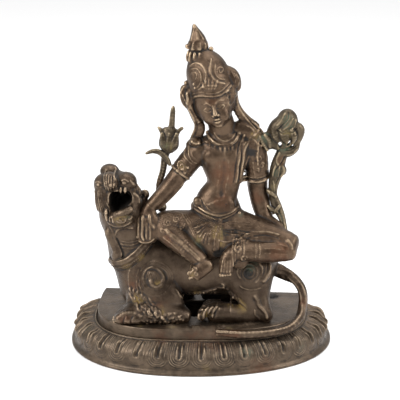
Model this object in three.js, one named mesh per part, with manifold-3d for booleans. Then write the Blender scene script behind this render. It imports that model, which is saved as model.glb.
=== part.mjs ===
// A cast copper-alloy figure seated on a lion, with two attached flower sprays, on a lotus base.
// Millimetres, +Z up. +X is the viewer's right, -Y is towards the viewer, and the origin is under the
// middle of the base's outer box, on the surface that it stands on.
import * as THREE from "three";
import { mergeVertices } from "three/addons/utils/BufferGeometryUtils.js";
import Module from "manifold-3d";

const wasm = await Module();
wasm.setup();

// Driving dimensions
const baseWidth = 237;
const baseDepth = 117;
const plateTop = 35;
const plateInset = 26;
const wallThickness = 5;
const planCentreY = 33;
const footPower = 2.2;
const platePower = 2.9;
const planShear = 0.07;
const shearReach = 0.58;
const frontInsetShare = 0.8;
const petalCount = 21;
const petalColumns = 4;
const petalRelief = 1.5;
const backColumns = 2;
const clearance = 0.3;
const bodyMidY = 11.5;

const backY = baseDepth / 2;
const frontY = -baseDepth / 2 + shearReach;

// Joining and cutting of closed shapes

function solidOf(geometry) {
  const bare = geometry.clone();
  bare.deleteAttribute("normal");
  bare.deleteAttribute("uv");
  const merged = mergeVertices(bare, 1e-4);
  return new wasm.Manifold(
    new wasm.Mesh({
      numProp: 3,
      vertProperties: new Float32Array(merged.attributes.position.array),
      triVerts: new Uint32Array(merged.index.array),
    }),
  );
}

function join(solids) {
  return solids.reduce((whole, solid) => whole.add(solid));
}

function closedGeometry(points, triangles) {
  const geometry = new THREE.BufferGeometry();
  geometry.setAttribute("position", new THREE.Float32BufferAttribute(points.flat(), 3));
  geometry.setIndex(triangles.flat());
  return geometry;
}

// A closed skin over rings of equally many points, given in order from the first end to the last,
// with one pole point beyond each end.
function skinRings(rings, startPole, endPole) {
  const count = rings[0].length;
  const points = [startPole, ...rings.flat(), endPole];
  const last = points.length - 1;
  const triangles = [];
  for (let k = 0; k < count; k += 1) {
    const next = (k + 1) % count;
    triangles.push([0, 1 + next, 1 + k]);
    for (let ring = 0; ring + 1 < rings.length; ring += 1) {
      const low = 1 + ring * count;
      const high = low + count;
      triangles.push([low + k, low + next, high + next]);
      triangles.push([low + k, high + next, high + k]);
    }
    const top = 1 + (rings.length - 1) * count;
    triangles.push([top + k, top + next, last]);
  }
  return solidOf(closedGeometry(points, triangles));
}

// A rounded limb along a smooth curve. Each station is [x, y, z, half width, half depth], where the depth
// lies along the world's Y as far as the curve lets it. grow widens it, to cut a clearance in a neighbour.
function limb(stations, { sides = 8, steps = stations.length, grow = 0, pole = 0.55 } = {}) {
  const centre = new THREE.CatmullRomCurve3(stations.map(([x, y, z]) => new THREE.Vector3(x, y, z)));
  const radii = new THREE.CatmullRomCurve3(
    stations.map(([, , , width, depth]) => new THREE.Vector3(width, depth ?? width, 0)),
  );
  const rings = [];
  const ends = [];
  for (let step = 0; step < steps; step += 1) {
    const along = step / (steps - 1);
    const point = centre.getPoint(along);
    const size = radii.getPoint(along);
    const tangent = centre.getTangent(along);
    const depthDirection = new THREE.Vector3(0, 1, 0).addScaledVector(tangent, -tangent.y).normalize();
    const sideDirection = new THREE.Vector3().crossVectors(depthDirection, tangent);
    const ring = [];
    for (let k = 0; k < sides; k += 1) {
      const angle = (2 * Math.PI * (k + 0.5)) / sides;
      ring.push(
        point
          .clone()
          .addScaledVector(sideDirection, Math.cos(angle) * (size.x + grow))
          .addScaledVector(depthDirection, Math.sin(angle) * (size.y + grow))
          .toArray(),
      );
    }
    rings.push(ring);
    ends.push({ point, tangent, reach: Math.min(size.x, size.y) * pole + grow });
  }
  const first = ends[0];
  const final = ends[steps - 1];
  const startPole = first.point.clone().addScaledVector(first.tangent, -first.reach).toArray();
  const endPole = final.point.clone().addScaledVector(final.tangent, final.reach).toArray();
  return skinRings(rings, startPole, endPole);
}

function ball([x, y, z], [rx, ry, rz], { tilt = 0, sides = 8, rows = 6, grow = 0 } = {}) {
  const geometry = new THREE.SphereGeometry(1, sides, rows);
  geometry.rotateX(Math.PI / 2);
  geometry.scale(rx + grow, ry + grow, rz + grow);
  geometry.rotateY(THREE.MathUtils.degToRad(tilt));
  geometry.translate(x, y, z);
  return solidOf(geometry);
}

function block([x0, y0, z0], [x1, y1, z1]) {
  const geometry = new THREE.BoxGeometry(x1 - x0, y1 - y0, z1 - z0);
  geometry.translate((x0 + x1) / 2, (y0 + y1) / 2, (z0 + z1) / 2);
  return solidOf(geometry);
}

// The same piece on the lion's far side.
function mirrored(stations) {
  return stations.map(([x, y, z, ...sizes]) => [x, 2 * bodyMidY - y, z, ...sizes]);
}

// Lotus base: a superellipse cut off straight at the back, a foot lip, a band of hanging petals, a thin
// raised line and the plate. It is cast hollow and open below.

function planPower(inset) {
  return footPower + (platePower - footPower) * Math.min(1, inset / plateInset);
}

function planPoint(angle, inset, backInset) {
  const power = planPower(inset);
  const halfWidth = baseWidth / 2 - inset;
  const reach = planCentreY - frontY - inset * frontInsetShare;
  const cos = Math.cos(angle);
  const sin = Math.sin(angle);
  const x = Math.sign(cos) * Math.abs(cos) ** (2 / power) * halfWidth;
  const y = planCentreY - Math.sign(sin) * Math.abs(sin) ** (2 / power) * reach;
  const sheared = y + (planShear * x * (backY - y)) / baseDepth;
  return [x, Math.min(sheared, backY - backInset)];
}

// The angle at which the plan's curve reaches the straight back.
function cornerAngle(inset, backInset) {
  const reach = planCentreY - frontY - inset * frontInsetShare;
  const share = (backY - backInset - planCentreY) / reach;
  return -Math.asin(share ** (planPower(inset) / 2));
}

function planRing(inset, height, { backInset = 0, relief = 0, columns = petalColumns } = {}) {
  const corner = cornerAngle(inset, backInset);
  const ring = [];
  const total = petalCount * columns;
  for (let k = 0; k <= total; k += 1) {
    const angle = corner + ((Math.PI - 2 * corner) * k) / total;
    const across = (2 * (k % columns)) / columns - 1;
    const bulge = relief * Math.sqrt(1 - across * across);
    const [x, y] = planPoint(angle, inset - bulge, backInset);
    ring.push([x, y, height]);
  }
  const [left] = ring[ring.length - 1];
  const [right] = ring[0];
  for (let k = 1; k < backColumns; k += 1) {
    ring.push([left + ((right - left) * k) / backColumns, backY - backInset, height]);
  }
  return ring.reverse();
}

function buildBase() {
  const profile = [
    { inset: 0.6, height: 0, backInset: 0.6 },
    { inset: 0, height: 2 },
    { inset: 4.6, height: 6.6, backInset: 1.4 },
    { inset: 4.2, height: 9.6, backInset: 1.4, relief: petalRelief * 0.7 },
    { inset: 5.4, height: 14.5, backInset: 1.4, relief: petalRelief },
    { inset: 11.5, height: 20.4, backInset: 1.4, relief: petalRelief },
    { inset: 20.5, height: 24.4, backInset: 1.4 },
    { inset: 23.6, height: 25.8, backInset: 1.2 },
    { inset: 25.4, height: 25.4, backInset: 1.6 },
    { inset: plateInset, height: plateTop, backInset: 1 },
  ];
  const rings = profile.map(({ inset, height, ...rest }) => planRing(inset, height, rest));
  const outside = skinRings(rings, [0, planCentreY, 0], [0, planCentreY, plateTop]);

  const hollowProfile = [
    { inset: wallThickness + 1, height: -1 },
    { inset: wallThickness + 7, height: 10 },
    { inset: wallThickness + 18, height: 19 },
    { inset: wallThickness + plateInset + 2, height: plateTop - wallThickness },
  ];
  const hollowRings = hollowProfile.map(({ inset, height }) =>
    planRing(inset, height, { backInset: wallThickness, columns: 1 }),
  );
  const hollow = skinRings(hollowRings, [0, planCentreY, -1], [0, planCentreY, plateTop - wallThickness]);

  // The rough opening in the plate under the belly, and a small casting hole behind the hind leg.
  const opening = block([-19, -8, plateTop - 2 * wallThickness], [15, 30, plateTop + 1]);
  const castingHole = block([62, 42, plateTop - 2 * wallThickness], [66.5, 46.5, plateTop + 1]);
  return outside.subtract(hollow).subtract(opening).subtract(castingHole);
}

// Lion: crouching, chest to the viewer's left, head thrown back with the mouth wide open, tail round the
// plate's right side to its front.

function lionLegs(grow) {
  const shoulder = [
    [-38, -2, 78, 18, 13],
    [-40, -8, 62, 22, 12],
    [-38, -13, 48, 26, 10],
    [-37, -15, 38, 27, 9],
  ];
  const forearm = [
    [-9, -18, 40, 6, 7],
    [-28, -20, 41, 8, 8],
    [-50, -22, 42, 8, 9],
    [-66, -23, 41, 7.5, 9.5],
  ];
  const haunch = [
    [44, -1, 81, 20, 14],
    [46, -4, 66, 18, 12],
    [50, -8, 52, 13, 9],
    [53, -10, 38, 12, 8],
  ];
  const hindFoot = [
    [61, -10, 40, 5, 6],
    [42, -13, 42, 8, 8],
    [24, -14, 44, 10, 10],
    [12, -14, 44, 10, 10],
  ];
  const pieces = [];
  for (const stations of [shoulder, forearm, haunch, hindFoot]) {
    pieces.push(limb(stations, { grow }));
    pieces.push(limb(mirrored(stations), { grow, sides: 5 }));
  }
  return pieces;
}

function pawToes(grow) {
  const pieces = [];
  const toeCount = 3;
  for (let k = 0; k < toeCount; k += 1) {
    const y = -30 + 6 * k;
    pieces.push(ball([-69 + 1.6 * Math.abs(k - 1), y, 40], [6.5, 3.4, 5.2], { sides: 6, rows: 4, grow }));
    pieces.push(ball([8, y + 10, 41], [7, 3.4, 5.4], { sides: 6, rows: 4, grow }));
  }
  return pieces;
}

// A raised rounded band wound inwards on the leg's outer face, facing the viewer.
function curl([x, y, z], outer, turns, startAngle, grow) {
  const stations = [];
  const perTurn = 6;
  const total = Math.round(turns * perTurn);
  for (let k = 0; k <= total; k += 1) {
    const angle = startAngle + (2 * Math.PI * k) / perTurn;
    const radius = outer * (1 - 0.86 * (k / total));
    const depth = y + 0.02 * radius * radius;
    stations.push([x + radius * Math.cos(angle), depth, z + radius * Math.sin(angle), 2, 2]);
  }
  return limb(stations, { sides: 4, grow });
}

function lionHead(grow) {
  const skull = ball([-71.5, 1, 146], [19.5, 20, 20], { sides: 10, rows: 6, grow });
  const bun = ball([-78.5, 5, 164.6], [8.2, 8.2, 6], { rows: 5, grow });
  const rightBrow = ball([-64, -7, 158.5], [9, 10, 7.5], { rows: 5, grow });
  const leftBrow = ball([-83, -7, 154], [8, 9, 7.5], { rows: 5, grow });
  const nose = ball([-75, -14, 156], [6, 7, 8], { rows: 5, grow });
  const leftCheek = ball([-83, -8, 142], [5.6, 9, 12], { grow });
  const rightCheek = ball([-56, -4, 142], [6.6, 10, 13], { grow });
  const lowerJaw = ball([-66, -13, 129], [12, 11, 8.5], { grow });
  const leftFang = ball([-79, -14, 130], [4, 5, 6], { sides: 6, rows: 5, grow });
  const ear = ball([-47.5, 8, 141], [5.4, 5, 6], { sides: 6, rows: 5, grow });
  const cheekRoll = limb(
    [
      [-60, 0, 156, 4.5],
      [-53.5, 4, 149, 4.5],
      [-48, 8, 142, 4.5],
    ],
    { sides: 6, grow },
  );
  const upperHead = [skull, bun, rightBrow, leftBrow, nose, ear, cheekRoll];
  const head = join([...upperHead, leftCheek, rightCheek, lowerJaw, leftFang]);
  const mouth = ball([-67, -22, 141.6], [9.8, 20, 9.8], { sides: 10, rows: 6 });
  const teeth = [-72, -67, -62].map((x) =>
    ball([x, -14.6, 152.6], [1.9, 3, 3.6], { sides: 4, rows: 4, grow }),
  );
  return join([head.subtract(mouth), ...teeth]);
}

function buildLion(grow = 0) {
  const trunk = limb(
    [
      [-52, 12, 84, 22, 22],
      [-32, 13, 80, 23, 26],
      [-8, 13, 80, 21, 24],
      [12, 13, 80, 21, 24],
      [34, 13, 79, 22, 26],
      [54, 13, 77, 20, 24],
      [64, 13, 76, 12, 14],
    ],
    { steps: 6, grow },
  );
  const chest = limb(
    [
      [-52, 9, 50, 14, 18],
      [-55, 8, 64, 16, 19],
      [-58, 7, 78, 20, 20],
      [-61, 6, 92, 18, 19],
    ],
    { grow },
  );
  const neck = limb(
    [
      [-58, 8, 90, 22, 20],
      [-62.5, 5, 104, 17.6, 18],
      [-66, 3, 118, 16.4, 17],
      [-69, 2, 132, 17, 17],
    ],
    { grow },
  );
  const collar = limb(
    [
      [-77, -2, 84, 3],
      [-70, -13, 80, 3],
      [-58, -16, 88, 3],
      [-45, -10, 101, 3],
    ],
    { sides: 5, grow },
  );
  const tail = limb(
    [
      [58, 13, 75, 4.6],
      [68, 13, 75, 4.4],
      [76, 12, 72.5, 4.2],
      [84, 9, 68.7, 4.1],
      [90.6, 6, 63, 4],
      [94, 3, 55, 4],
      [94, 0, 46, 4],
      [91, -8, 37.5, 4],
      [81.5, -20, 32.6, 4],
      [64, -29.8, 31.4, 4],
      [42, -37.6, 32.8, 4, 3.8],
      [19, -41.2, 35, 3.2, 2.6],
    ],
    { sides: 6, steps: 14, grow },
  );
  const shoulderCurl = curl([-39, -15.6, 74], 14, 1.6, 2.4, grow);
  const haunchCurl = curl([42, -15.4, 80], 15, 1.6, 0.6, grow);
  const body = [trunk, chest, neck, collar, shoulderCurl, haunchCurl];
  const whole = join([...body, ...lionLegs(grow), ...pawToes(grow), lionHead(grow)]);
  const ground = block([-150, -100, 0], [150, 100, plateTop + clearance]);
  return whole.subtract(ground).add(tail);
}

// Figure: seated facing the viewer across the lion's back, with bent legs, one hand hanging over the
// knee and the other on the thigh, and a tall crown.

function figureTorso(grow) {
  const trunk = limb(
    [
      [15, 13, 109, 24, 15],
      [15, 13, 122, 22.5, 15],
      [15, 13, 131, 19.8, 14],
      [15.2, 13, 138, 17.6, 12.5],
      [18.5, 13, 147, 14.2, 11],
      [21, 13, 156, 14, 11],
      [21, 13.5, 166, 17.5, 12.5],
      [21, 14, 177, 21, 13],
      [23.5, 14.5, 188, 23, 10.5],
      [23, 14, 194.5, 16, 9],
    ],
    { grow },
  );
  const belt = limb(
    [
      [13, 13, 130.5, 20.8, 15],
      [13, 13, 134, 20.2, 14.6],
    ],
    { grow, pole: 0.1 },
  );
  const pelvis = ball([15, 11, 115], [26, 16, 13], { rows: 5, grow });
  const neck = limb(
    [
      [20.5, 13.5, 192, 11, 10],
      [19.5, 12, 202, 9.6, 9.2],
      [18, 10, 212, 10, 9.5],
    ],
    { grow },
  );
  const torque = limb(
    [
      [20.8, 12.5, 193, 15.5, 12.5],
      [20.6, 12, 196, 13, 11.5],
    ],
    { grow, pole: 0.1 },
  );
  return [trunk, belt, pelvis, neck, torque];
}

function figureHead(grow) {
  const tilt = -15;
  const skull = ball([12, 9, 228], [17, 18, 21], { tilt, sides: 10, rows: 7, grow });
  const face = ball([15.5, -1, 221], [12.5, 9, 12], { tilt, sides: 8, grow });
  const nose = limb(
    [
      [12.5, -9.5, 227, 1.6],
      [14.3, -11.5, 220.5, 2.6, 2.4],
    ],
    { sides: 6, grow },
  );
  const crown = limb(
    [
      [11, 8.5, 239, 18.4, 18],
      [8.8, 9, 246, 18, 17.6],
      [5.6, 10, 255, 17.2, 16.6],
      [2.4, 11.5, 263, 13.5, 13.5],
      [-0.4, 12.5, 269, 8.4, 8.5],
    ],
    { grow },
  );
  const bud = limb(
    [
      [-1.6, 13, 268, 7.4, 7.4],
      [-2.2, 13, 274, 6.2, 6.2],
      [-2.4, 13, 277, 8.2, 8.2],
      [-3, 13, 283, 6, 6],
      [-3.4, 13, 288.5, 3, 3],
      [-3.8, 13, 293, 1, 1],
    ],
    { sides: 6, grow },
  );
  const crownPoints = [
    [-3.5, 1, 250, 13],
    [14.5, -3, 254, 14],
    [8.5, -7.5, 247, 12],
  ].map(([x, y, z, height]) =>
    limb(
      [
        [x, y, z - height / 2, 6, 2.5],
        [x - 1.6, y + 3.5, z + height / 2, 3, 2],
      ],
      { sides: 6, grow },
    ),
  );
  const ears = [
    ball([-11.5, 10, 231], [4.6, 4.4, 10.5], { tilt, sides: 8, rows: 5, grow }),
    ball([30.5, 11, 246], [4.8, 4.4, 10], { tilt, sides: 8, rows: 6, grow }),
  ];
  const ribbons = [
    [
      [-8, 10, 224, 2.6, 3],
      [-3, 12, 211, 3, 3],
      [-5, 14, 200, 3.4, 3],
      [-7, 15, 190, 4, 4],
    ],
    [
      [29.5, 11, 238, 2.6, 3],
      [33.5, 12, 222, 3, 3],
      [41, 14, 209, 4, 3],
      [52, 15, 199, 5, 4],
    ],
  ].map((stations) => limb(stations, { sides: 5, grow }));
  return [skull, face, nose, crown, bud, ...crownPoints, ...ears, ...ribbons];
}

function figureArms(grow) {
  const hangingArm = limb(
    [
      [1, 14, 184, 10, 10],
      [-9, 11.5, 173, 9, 9],
      [-18.5, 8.5, 160.5, 7.8, 7.8],
      [-26.5, 4.5, 151, 6.8, 6.8],
      [-36, -0.5, 141, 5.6, 5.6],
      [-43, -4, 134, 4.8, 4.6],
      [-43.8, -9, 125, 9.6, 4],
      [-43.6, -12, 115, 10.4, 3.4],
      [-42.5, -13.5, 106.5, 6, 2.4],
    ],
    { grow },
  );
  const hangingSleeve = limb(
    [
      [-8, 12, 174, 9.8],
      [-16.5, 9, 163.5, 9.2],
    ],
    { grow, pole: 0.1 },
  );
  const restingArm = limb(
    [
      [43, 15, 191, 11, 10],
      [49.5, 17.5, 174, 9.6, 9.2],
      [50, 21, 158, 8.6, 8.6],
      [50.5, 23, 146, 8, 8],
      [54, 21, 131, 7.6, 7.6],
      [58.5, 15, 119.5, 6, 6],
      [65, 9.5, 115.5, 6.5, 4],
      [72, 5, 112.5, 5, 3],
    ],
    { grow },
  );
  const restingSleeve = limb(
    [
      [48.5, 17, 176, 10],
      [50, 20.5, 158, 9.9],
    ],
    { grow, pole: 0.1 },
  );
  return [hangingArm, hangingSleeve, restingArm, restingSleeve];
}

function figureLegs(grow) {
  const raisedThigh = [
    [6, 10, 118, 14, 13],
    [-12, 5, 119.5, 12.5, 12],
    [-25, -1, 119.5, 11.5, 11],
    [-32, -4, 119, 10.5, 10],
  ];
  const raisedShin = [
    [-31, -6, 117, 10, 9.5],
    [-20, -12, 110, 9.4, 8.5],
    [-8, -17, 101.5, 7.8, 7.5],
    [4, -21, 93.5, 6, 6],
  ];
  const raisedFoot = [
    [11, -22, 90, 5.2, 5],
    [4, -25, 86.5, 6, 4.6],
    [-2, -28, 81.5, 5.4, 3.2],
  ];
  const foldedThigh = [
    [28, 10, 117, 15, 13],
    [47, 6, 112.5, 13, 12],
    [64, 2, 107.5, 12, 11],
    [81, -2, 102, 10.6, 10.5],
  ];
  const foldedShin = [
    [80, -5, 99.5, 9.6, 9.5],
    [60, -11, 99, 9, 8.5],
    [46, -15, 100.5, 8.4, 8],
    [35, -19, 102, 7, 7],
  ];
  const foldedFoot = [
    [33, -20, 103, 6, 5.5],
    [26.5, -23.5, 96, 6.2, 4.8],
    [25, -26.5, 84.5, 5.6, 3.4],
  ];
  const skirt = [
    [9, 1, 116, 24, 9],
    [10, -6, 105, 18, 8],
    [13, -9, 95, 12, 6],
  ];
  const hem = [
    [40, -12, 108, 7, 6],
    [37, -17, 96, 8, 5],
    [35, -18, 88, 6, 3.5],
  ];
  const limbs = [raisedThigh, raisedShin, raisedFoot, foldedThigh, foldedShin, foldedFoot, skirt];
  return [...limbs.map((stations) => limb(stations, { grow })), limb(hem, { sides: 6, grow })];
}

function buildFigure(grow = 0) {
  return join([...figureTorso(grow), ...figureHead(grow), ...figureArms(grow), ...figureLegs(grow)]);
}

// Sword on a lotus, at the viewer's left: an upright blade on a calyx with two sepals, and a curved leaf
// on its stem, which passes behind the forearm down to the thigh.

function buildSwordLotus() {
  const blade = limb(
    [
      [-24.4, 12, 200, 3.2, 1.6],
      [-23.4, 12, 212, 2.6, 1.4],
      [-22.6, 12, 221.4, 0.9, 0.7],
    ],
    { sides: 4 },
  );
  const calyx = limb(
    [
      [-26.6, 12, 181.5, 3.4, 3.2],
      [-26.6, 12, 186.5, 8.4, 5.8],
      [-26.4, 12, 194, 8.8, 6],
      [-25.6, 12, 201, 6.6, 4.6],
    ],
    { sides: 6 },
  );
  const sepals = [-1, 1].map((side) =>
    limb(
      [
        [-25.6 + 5 * side, 12, 196, 2.6, 2],
        [-25.4 + 7 * side, 12, 200.5, 2.2, 1.6],
        [-25 + 11 * side, 12, 203, 0.9, 0.8],
      ],
      { sides: 4 },
    ),
  );
  const stem = limb(
    [
      [-27, 12, 183, 3.2],
      [-30.2, 12.4, 174, 3.3],
      [-32.6, 12.4, 160, 3],
      [-34, 11, 147, 2.8],
      [-34, 6, 134, 3.4],
      [-34, 4, 130, 4.2],
    ],
    { sides: 6 },
  );
  const leaf = limb(
    [
      [-29, 12, 172, 2.6, 2],
      [-34, 12, 181, 2.6, 1.8],
      [-41, 11.5, 184.4, 2, 1.6],
      [-47.6, 11, 179.6, 0.9, 0.8],
    ],
    { sides: 4, steps: 6 },
  );
  return join([blade, calyx, ...sepals, stem, leaf]);
}

// Open lotus at the viewer's right: a domed flower on a knotted stalk with an arm to the shoulder, a leaf
// and a loop down to the knee.

function buildLotusSpray() {
  const dome = ball([73, 16, 211], [12, 9, 9], { rows: 5 });
  const cup = limb(
    [
      [73, 16, 186, 4, 4],
      [74, 16, 192, 9, 7],
      [75, 16, 201, 13.5, 9],
      [74.5, 16, 206, 13, 9],
    ],
  );
  const petals = [];
  const petalTotal = 4;
  for (let k = 0; k < petalTotal; k += 1) {
    const angle = (2 * Math.PI * k) / petalTotal + 0.2;
    const x = 74.5 + 12 * Math.cos(angle);
    const y = 16 + 7.5 * Math.sin(angle);
    const spread = 3.5 * Math.cos(angle);
    const petal = [
      [x - spread, y, 192, 2.6, 2.6],
      [x, y, 199, 4, 3.4],
      [x + spread * 0.6, y, 206, 1.8, 1.8],
    ];
    petals.push(limb(petal, { sides: 4 }));
  }
  const shoulderArm = limb(
    [
      [53, 16, 197.5, 4, 4],
      [59, 16, 193.5, 4.6, 4],
      [67, 16, 196, 4.4, 4],
    ],
    { sides: 6 },
  );
  const leaf = limb(
    [
      [82, 16, 199, 4, 3],
      [87.5, 16, 191, 3.6, 3],
      [83.5, 16, 184.5, 3.4, 2.6],
      [76, 16, 185.5, 3, 2.6],
    ],
    { sides: 5 },
  );
  const stalk = limb(
    [
      [73, 16, 190, 5, 4.4],
      [71.5, 16, 181, 5, 4.4],
      [69, 16.5, 171, 5.6, 4.6],
      [66.4, 18, 159, 4.2, 4],
      [65, 20, 146, 4, 4],
      [64.5, 20, 138, 4, 4],
    ],
    { sides: 5 },
  );
  const knob = ball([72.5, 15, 166], [4, 3.6, 4.2], { sides: 6, rows: 5 });
  const loop = limb(
    [
      [65, 19.5, 143, 3.4],
      [71, 16.5, 135, 3.2],
      [76.6, 12, 125, 3],
      [77.4, 7, 114, 3.4],
    ],
    { sides: 5 },
  );
  const whole = join([dome, cup, ...petals, shoulderArm, leaf, stalk, knob, loop]);
  const holes = [
    [70.5, 190.5],
    [78, 191.5],
  ].map(([x, z]) => block([x - 1.3, 0, z - 2.4], [x + 1.3, 32, z + 2.4]));
  return holes.reduce((left, hole) => left.subtract(hole), whole);
}

// Assembly: neighbours are cut by the grown figure so that every piece keeps its clearance.

const brownBronze = new THREE.MeshStandardMaterial({ color: 0x5c4b3e, roughness: 0.45, metalness: 0.9 });
const darkBronze = new THREE.MeshStandardMaterial({ color: 0x55473b, roughness: 0.5, metalness: 0.9 });
const warmBronze = new THREE.MeshStandardMaterial({ color: 0x664f3f, roughness: 0.42, metalness: 0.9 });
const greenBronze = new THREE.MeshStandardMaterial({ color: 0x4f5a48, roughness: 0.6, metalness: 0.7 });

function node(name, solid, material) {
  const { vertProperties, triVerts, numProp } = solid.getMesh();
  const positions = [];
  for (let k = 0; k < vertProperties.length; k += numProp) {
    positions.push(vertProperties[k], vertProperties[k + 1], vertProperties[k + 2]);
  }
  const geometry = new THREE.BufferGeometry();
  geometry.setAttribute("position", new THREE.Float32BufferAttribute(positions, 3));
  geometry.setIndex(Array.from(triVerts));
  const mesh = new THREE.Mesh(geometry, material);
  mesh.name = name;
  return mesh;
}

const figure = buildFigure();
const figureRoom = buildFigure(clearance);
const lion = buildLion().subtract(figureRoom);
const lionRoom = buildLion(clearance);
const swordLotus = buildSwordLotus().subtract(figureRoom).subtract(lionRoom);
const lotusSpray = buildLotusSpray().subtract(figureRoom);

const statue = new THREE.Group();
statue.add(node("lotus_base", buildBase(), brownBronze));
statue.add(node("lion", lion, darkBronze));
statue.add(node("figure", figure, warmBronze));
statue.add(node("sword_lotus", swordLotus, greenBronze));
statue.add(node("lotus_spray", lotusSpray, greenBronze));

export default statue;
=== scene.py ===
import math

import bpy
import numpy as np
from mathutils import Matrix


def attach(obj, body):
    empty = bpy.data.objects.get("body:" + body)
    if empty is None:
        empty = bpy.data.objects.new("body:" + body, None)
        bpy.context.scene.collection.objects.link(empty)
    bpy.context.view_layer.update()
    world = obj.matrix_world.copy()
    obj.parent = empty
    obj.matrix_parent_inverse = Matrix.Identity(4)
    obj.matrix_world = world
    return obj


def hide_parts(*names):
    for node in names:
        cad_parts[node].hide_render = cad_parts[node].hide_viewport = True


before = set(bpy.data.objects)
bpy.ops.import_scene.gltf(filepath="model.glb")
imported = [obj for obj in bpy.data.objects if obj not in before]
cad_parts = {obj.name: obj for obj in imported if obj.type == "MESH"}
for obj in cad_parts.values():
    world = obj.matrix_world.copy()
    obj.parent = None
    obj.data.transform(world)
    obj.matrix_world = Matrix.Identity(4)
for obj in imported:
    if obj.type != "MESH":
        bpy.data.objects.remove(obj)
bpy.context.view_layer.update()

import openvdb
from mathutils import Vector

# Lotus base. Cast copper alloy, hollow and open below, made in one with its plate. A thin lip runs round
# the foot, a band of hanging lotus petals bulges above it, and a fine raised line runs round the plate.

base_width = 237.0
base_depth = 117.0
plan_centre = 33.0
plan_back = base_depth / 2
plan_front = -57.92
foot_power = 2.2
plate_power = 2.9
plate_inset = 26.0
front_inset_share = 0.8
plan_shear = 0.07
petal_count = 22
petal_stretch = 0.022
petal_width = 17.4
petal_root = 28.6
columns_per_petal = 34
back_columns = 40
plate_top = 35.0
underside = 30.0
metre = 0.001


def plan_line(share, inset, back_inset):
    """Points of the plan at shares 0 to 1 of its curved part, right corner to left corner. The curve is
    |x/a|^p + |y/b|^p = 1 with p rising from foot to plate, sheared so that its left front is fuller, and
    cut off straight at the back. The shares are taken along the arc, a little stretched in the middle."""
    power = foot_power + (plate_power - foot_power) * min(1.0, max(0.0, inset) / plate_inset)
    half = base_width / 2 - inset
    reach = plan_centre - plan_front - inset * front_inset_share
    start = -math.asin(((plan_back - back_inset - plan_centre) / reach) ** (power / 2))
    angle = np.linspace(start, math.pi - start, 1500)
    cosine, sine = np.cos(angle), np.sin(angle)
    x = np.sign(cosine) * np.abs(cosine) ** (2 / power) * half
    y = plan_centre - np.sign(sine) * np.abs(sine) ** (2 / power) * reach
    y = np.minimum(y + plan_shear * x * (plan_back - y) / base_depth, plan_back - back_inset)
    arc = np.concatenate([[0.0], np.cumsum(np.hypot(np.diff(x), np.diff(y)))])
    wanted = (share - petal_stretch * np.sin(2 * math.pi * share)) * arc[-1]
    return np.interp(wanted, arc, x), np.interp(wanted, arc, y)


def through(stations, per):
    """Catmull-Rom curve through the stations, with that many points to each span. Any number of values
    rides along with a point: 0.5 (2b + (c-a)t + (2a-5b+4c-d)t^2 + (3b-a-3c+d)t^3) between b and c."""
    p = np.asarray(stations, float)
    ends = np.vstack([2 * p[0] - p[1], p, 2 * p[-1] - p[-2]])
    a, b, c, d = (ends[k : k + len(p) - 1, None, :] for k in range(4))
    t = (np.arange(per) / per)[None, :, None]
    curve = 2 * b + (c - a) * t + (2 * a - 5 * b + 4 * c - d) * t**2 + (3 * b - a - 3 * c + d) * t**3
    return np.vstack([0.5 * curve.reshape(-1, p.shape[1]), p[-1:]])


def wander(phase, count, size, seed):
    """A slow irregularity of hand work: a sum of sines of the phase with seeded shifts and strengths."""
    draw = np.random.default_rng(seed)
    total = np.zeros_like(phase)
    for k in range(1, count + 1):
        total = total + np.sin(k * phase + draw.uniform(0, 2 * math.pi)) * draw.uniform(0.4, 1.0) / k**0.5
    return total * size


def ridge(distance, spread):
    """A rounded line: exp(-(d/s)^2)."""
    return np.exp(-((distance / spread) ** 2))


def petal_relief(share, height, seed):
    """Height of the petals' relief in millimetres over the band. In each petal, x runs across from its
    middle and y up from its tip. A nested U lies at equal distance from a stem that ends in a half circle:
    its distance is the length of (x, how far y is below the half circle's centre) less its half width."""
    place = share * petal_count
    number = np.floor(np.minimum(place, petal_count - 1e-6)).astype(int)
    draw = np.random.default_rng(seed).uniform(-1, 1, (6, petal_count))[:, number]
    x = (place - number - 0.5) * petal_width + 0.35 * draw[0]
    x = x + 0.05 * (height - 12) * draw[1]
    y = height - 0.5 * draw[2]

    def nested_u(half, foot):
        return np.hypot(x, np.minimum(y - foot - half, 0)) - half

    outer = nested_u(8.0, 0.2)
    root = np.clip((petal_root - y) / 1.5, 0, 1)
    strength = 0.95 + 0.15 * draw[3] + 0.25 * np.sin(0.5 * height + 9 * draw[1])
    body = 1.1 / (1 + np.exp(outer / 0.5))
    rims = 0.75 * ridge(outer, 0.6) + 0.6 * ridge(nested_u(6.1, 2.3), 0.5)
    rims = rims + 0.5 * ridge(nested_u(4.5, 4.2), 0.45)
    tongue = nested_u(2.2 + 0.3 * draw[4], 6.4)
    swell = np.clip((y - 4) / 5, 0, 1) * np.clip((25 - y) / 8, 0, 1)
    side = 1 + np.tanh(x) * 0.45 * draw[5]
    lifted = 2.1 * ridge(tongue, 1.05) * (0.35 + 0.65 * swell) * side
    lifted = lifted - 0.9 * ridge(x, 0.7) * np.clip((y - 8) / 2, 0, 1) * (0.55 + 0.45 * draw[4])
    between = 0.7 * ridge(np.abs(x) - petal_width / 2, 0.45) * np.clip((y - 3) / 3, 0, 1)
    return (body + (rims * (0.75 + 0.35 * draw[2]) + lifted) * strength + between) * root


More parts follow.
